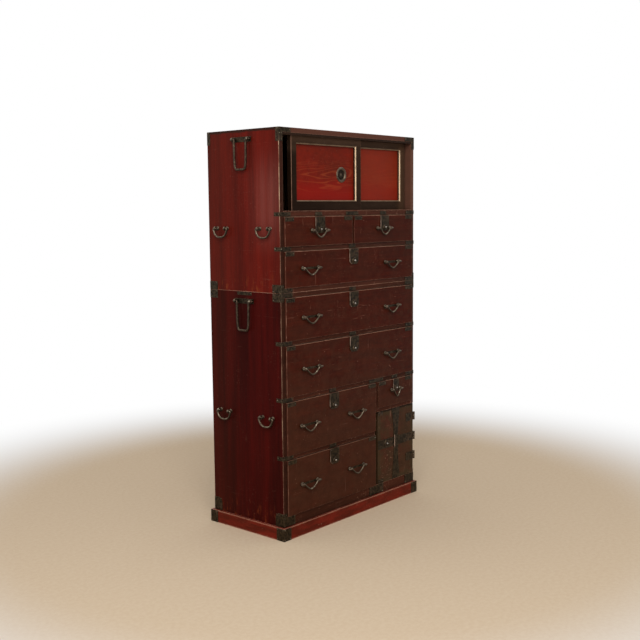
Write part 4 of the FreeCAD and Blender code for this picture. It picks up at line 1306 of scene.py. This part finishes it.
class TANSU_OT_side_handles(bpy.types.Operator):
    """Forge the C-shaped side handles and their eyes"""

    bl_idname = "tansu.side_handles"
    bl_label = "Side handles"

    def execute(self, context):
        sizes = chosen("handles")
        neck = sizes.side_eye_width / 2 + sizes.spare
        arm = sizes.side_span / 2 + neck + sizes.side_bar
        half = [(sizes.side_span / 2 - neck, 0.0), (arm, 0.0)]
        for i in range(1, CURVE + 1):
            turn = math.pi / 2 * i / CURVE
            half.append((arm * max(math.cos(turn), 0.0) ** 0.8, -sizes.side_drop * math.sin(turn)))
        line = bail_line(half, 0.0014, 8)

        def radius(travel, half_way):
            return max(0.001, sizes.side_bar * (0.97 + 0.1 * travel / half_way) * dome(travel, 0.004))

        for name in SIDE_HANDLES:
            forge(name, line, radius, "bar_iron", sizes.side_span, sizes.side_eye, sizes.side_eye_width,
                  sizes.side_bar, sizes.side_out, SIDE_WASHER)
        return {"FINISHED"}


class TANSU_OT_carry_bails(bpy.types.Operator):
    """Forge the long carrying bails and their eyes"""

    bl_idname = "tansu.carry_bails"
    bl_label = "Carrying bails"

    def execute(self, context):
        sizes = chosen("handles")
        half = [(sizes.carry_span / 2 + sizes.carry_tip, 0.0), (sizes.carry_arm, 0.0)]
        for i in range(1, CARRY_CURVE + 1):
            turn = math.pi / 2 * (0.3 + 0.7 * i / CARRY_CURVE)
            half.append((sizes.carry_arm * max(math.cos(turn), 0.0) ** 0.22,
                         -sizes.carry_drop * math.sin(turn) ** 0.7))
        line = bail_line(half, 0.0016, 8)

        def radius(travel, half_way):
            return max(0.001, sizes.carry_bar * dome(travel, 0.005))

        for name in CARRY_BAILS:
            forge(name, line, radius, "carry_iron", sizes.carry_span, sizes.carry_eye, sizes.carry_eye_width,
                  sizes.carry_bar, sizes.carry_out - CARRY_PLATE_T, 0.0)
        return {"FINISHED"}


class TANSU_OT_stage(bpy.types.Operator):
    """Lay the floor and set the light and the camera"""

    bl_idname = "tansu.stage"
    bl_label = "Stage"

    def execute(self, context):
        stage = chosen("stage")
        self.floor(stage)
        self.world(stage)
        self.lights(stage)
        self.camera(stage)
        context.scene.view_settings.view_transform = "Standard"
        return {"FINISHED"}

    def seen(self, tree):
        """One for rays that look at the background"""
        path = outputs(put(tree, "LightPath"))
        return path["Is Camera Ray"] | path["Is Transmission Ray"]

    def floor(self, stage):
        """Pale floor that fades to white away from the chest"""
        work = bmesh.new()
        bmesh.ops.create_circle(work, cap_ends=True, segments=96, radius=FLOOR_RADIUS)
        made = placed("floor", mesh_of("floor", work))
        made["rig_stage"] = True
        material, tree, shader, place, _ = new_material("pale_floor")
        fade = remap(out(tree, "VectorMath", {0: place}, "Value", operation="LENGTH"), *FLOOR_FADE)
        fibre = remap(noise(place, 60.0, 4.0, 0.7), 0.3, 0.7, 0.0, 0.22)
        sand = mixed(fibre, stage.floor, FLOOR_FIBRE)
        feed(shader.inputs["Base Color"], mixed(fade, sand, FLOOR_FAR))
        feed(shader.inputs["Roughness"], 0.9)
        feed(shader.inputs["Specular IOR Level"], 0.1)
        white = out(tree, "Emission", {"Color": WHITE, "Strength": 1.0})
        both = out(tree, "MixShader", {0: fade * self.seen(tree), 1: Value(shader.outputs[0]), 2: white})
        end = next(node for node in tree.nodes if node.type == "OUTPUT_MATERIAL")
        feed(end.inputs["Surface"], both)
        made.data.materials.append(material)

    def world(self, stage):
        """White surroundings with an even light"""
        world = bpy.data.worlds.new("studio")
        world.use_nodes = True
        tree = world.node_tree
        tree.nodes.clear()
        toward = axes(out(tree, "TexCoord", key="Generated"))
        room = remap(toward["Z"], -0.1, 0.8, 0.75, 1.7) * remap(toward["X"], -0.9, 0.9, 1.25, 0.75)
        even, gloss, white = (out(tree, "Background", {"Color": WHITE, "Strength": strength})
                              for strength in (stage.sky, room, 1.0))
        mirror = out(tree, "LightPath", key="Is Glossy Ray")
        light = out(tree, "MixShader", {0: mirror, 1: even, 2: gloss})
        both = out(tree, "MixShader", {0: self.seen(tree), 1: light, 2: white})
        put(tree, "OutputWorld", {"Surface": both})
        bpy.context.scene.world = world

    def lights(self, stage):
        """Large soft light from the upper left"""
        data = bpy.data.lights.new("key", "AREA")
        data.shape = "DISK"
        data.size = KEY_WIDE
        data.energy = stage.key
        made = placed("key", data)
        made.location = KEY_PLACE
        made.rotation_euler = (Vector(KEY_AIM) - made.location).to_track_quat("-Z", "Y").to_euler()

    def camera(self, stage):
        """Camera of the photograph"""
        data = bpy.data.cameras.new("camera")
        data.lens = stage.lens
        data.sensor_width = SENSOR
        made = placed("camera", data)
        level = Vector((math.cos(stage.yaw), -math.sin(stage.yaw), 0.0))
        ahead = Vector((math.sin(stage.yaw) * math.cos(stage.pitch), math.cos(stage.yaw) * math.cos(stage.pitch),
                        math.sin(stage.pitch)))
        rise = level.cross(ahead)
        right = level * math.cos(stage.roll) + rise * math.sin(stage.roll)
        above = rise * math.cos(stage.roll) - level * math.sin(stage.roll)
        turn = Matrix((right, above, -ahead)).transposed().to_4x4()
        made.matrix_world = Matrix.Translation(Vector(stage.place)) @ turn
        bpy.context.scene.camera = made


STEPS = (TANSU_OT_case, TANSU_OT_drawers, TANSU_OT_sliding_doors, TANSU_OT_safe_door, TANSU_OT_ironwork,
         TANSU_OT_locks, TANSU_OT_hinges, TANSU_OT_drawer_bails, TANSU_OT_side_handles, TANSU_OT_carry_bails,
         TANSU_OT_stage)
GROUPS = {"lacquer": TANSU_PG_lacquer, "iron": TANSU_PG_iron, "handles": TANSU_PG_handles, "stage": TANSU_PG_stage}


class TANSU_PT_sidebar(bpy.types.Panel):
    """Values and steps of the chest"""

    bl_idname = "TANSU_PT_sidebar"
    bl_label = "Tansu Chest"
    bl_space_type = "VIEW_3D"
    bl_region_type = "UI"
    bl_category = "Tansu"

    def draw(self, context):
        for step in STEPS:
            self.layout.operator(step.bl_idname)
        for name, kind in GROUPS.items():
            box = self.layout.box()
            box.label(text=name.capitalize())
            for key in kind.__annotations__:
                box.prop(chosen(name), key)


CLASSES = (*GROUPS.values(), *STEPS, TANSU_PT_sidebar)


def register():
    for kind in CLASSES:
        bpy.utils.register_class(kind)
    for name, kind in GROUPS.items():
        setattr(bpy.types.Scene, "tansu_" + name, bpy.props.PointerProperty(type=kind))


def unregister():
    for name in GROUPS:
        delattr(bpy.types.Scene, "tansu_" + name)
    for kind in reversed(CLASSES):
        bpy.utils.unregister_class(kind)


def main():
    """Dress the chest step by step and work out its size"""
    register()
    for step in STEPS:
        area, call = step.bl_idname.split(".")
        getattr(getattr(bpy.ops, area), call)()
    boxes = {"cad": [list(corner) for corner in CAD_BOX], "visual": [list(corner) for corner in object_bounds()]}


if __name__ == "__main__":
    main()
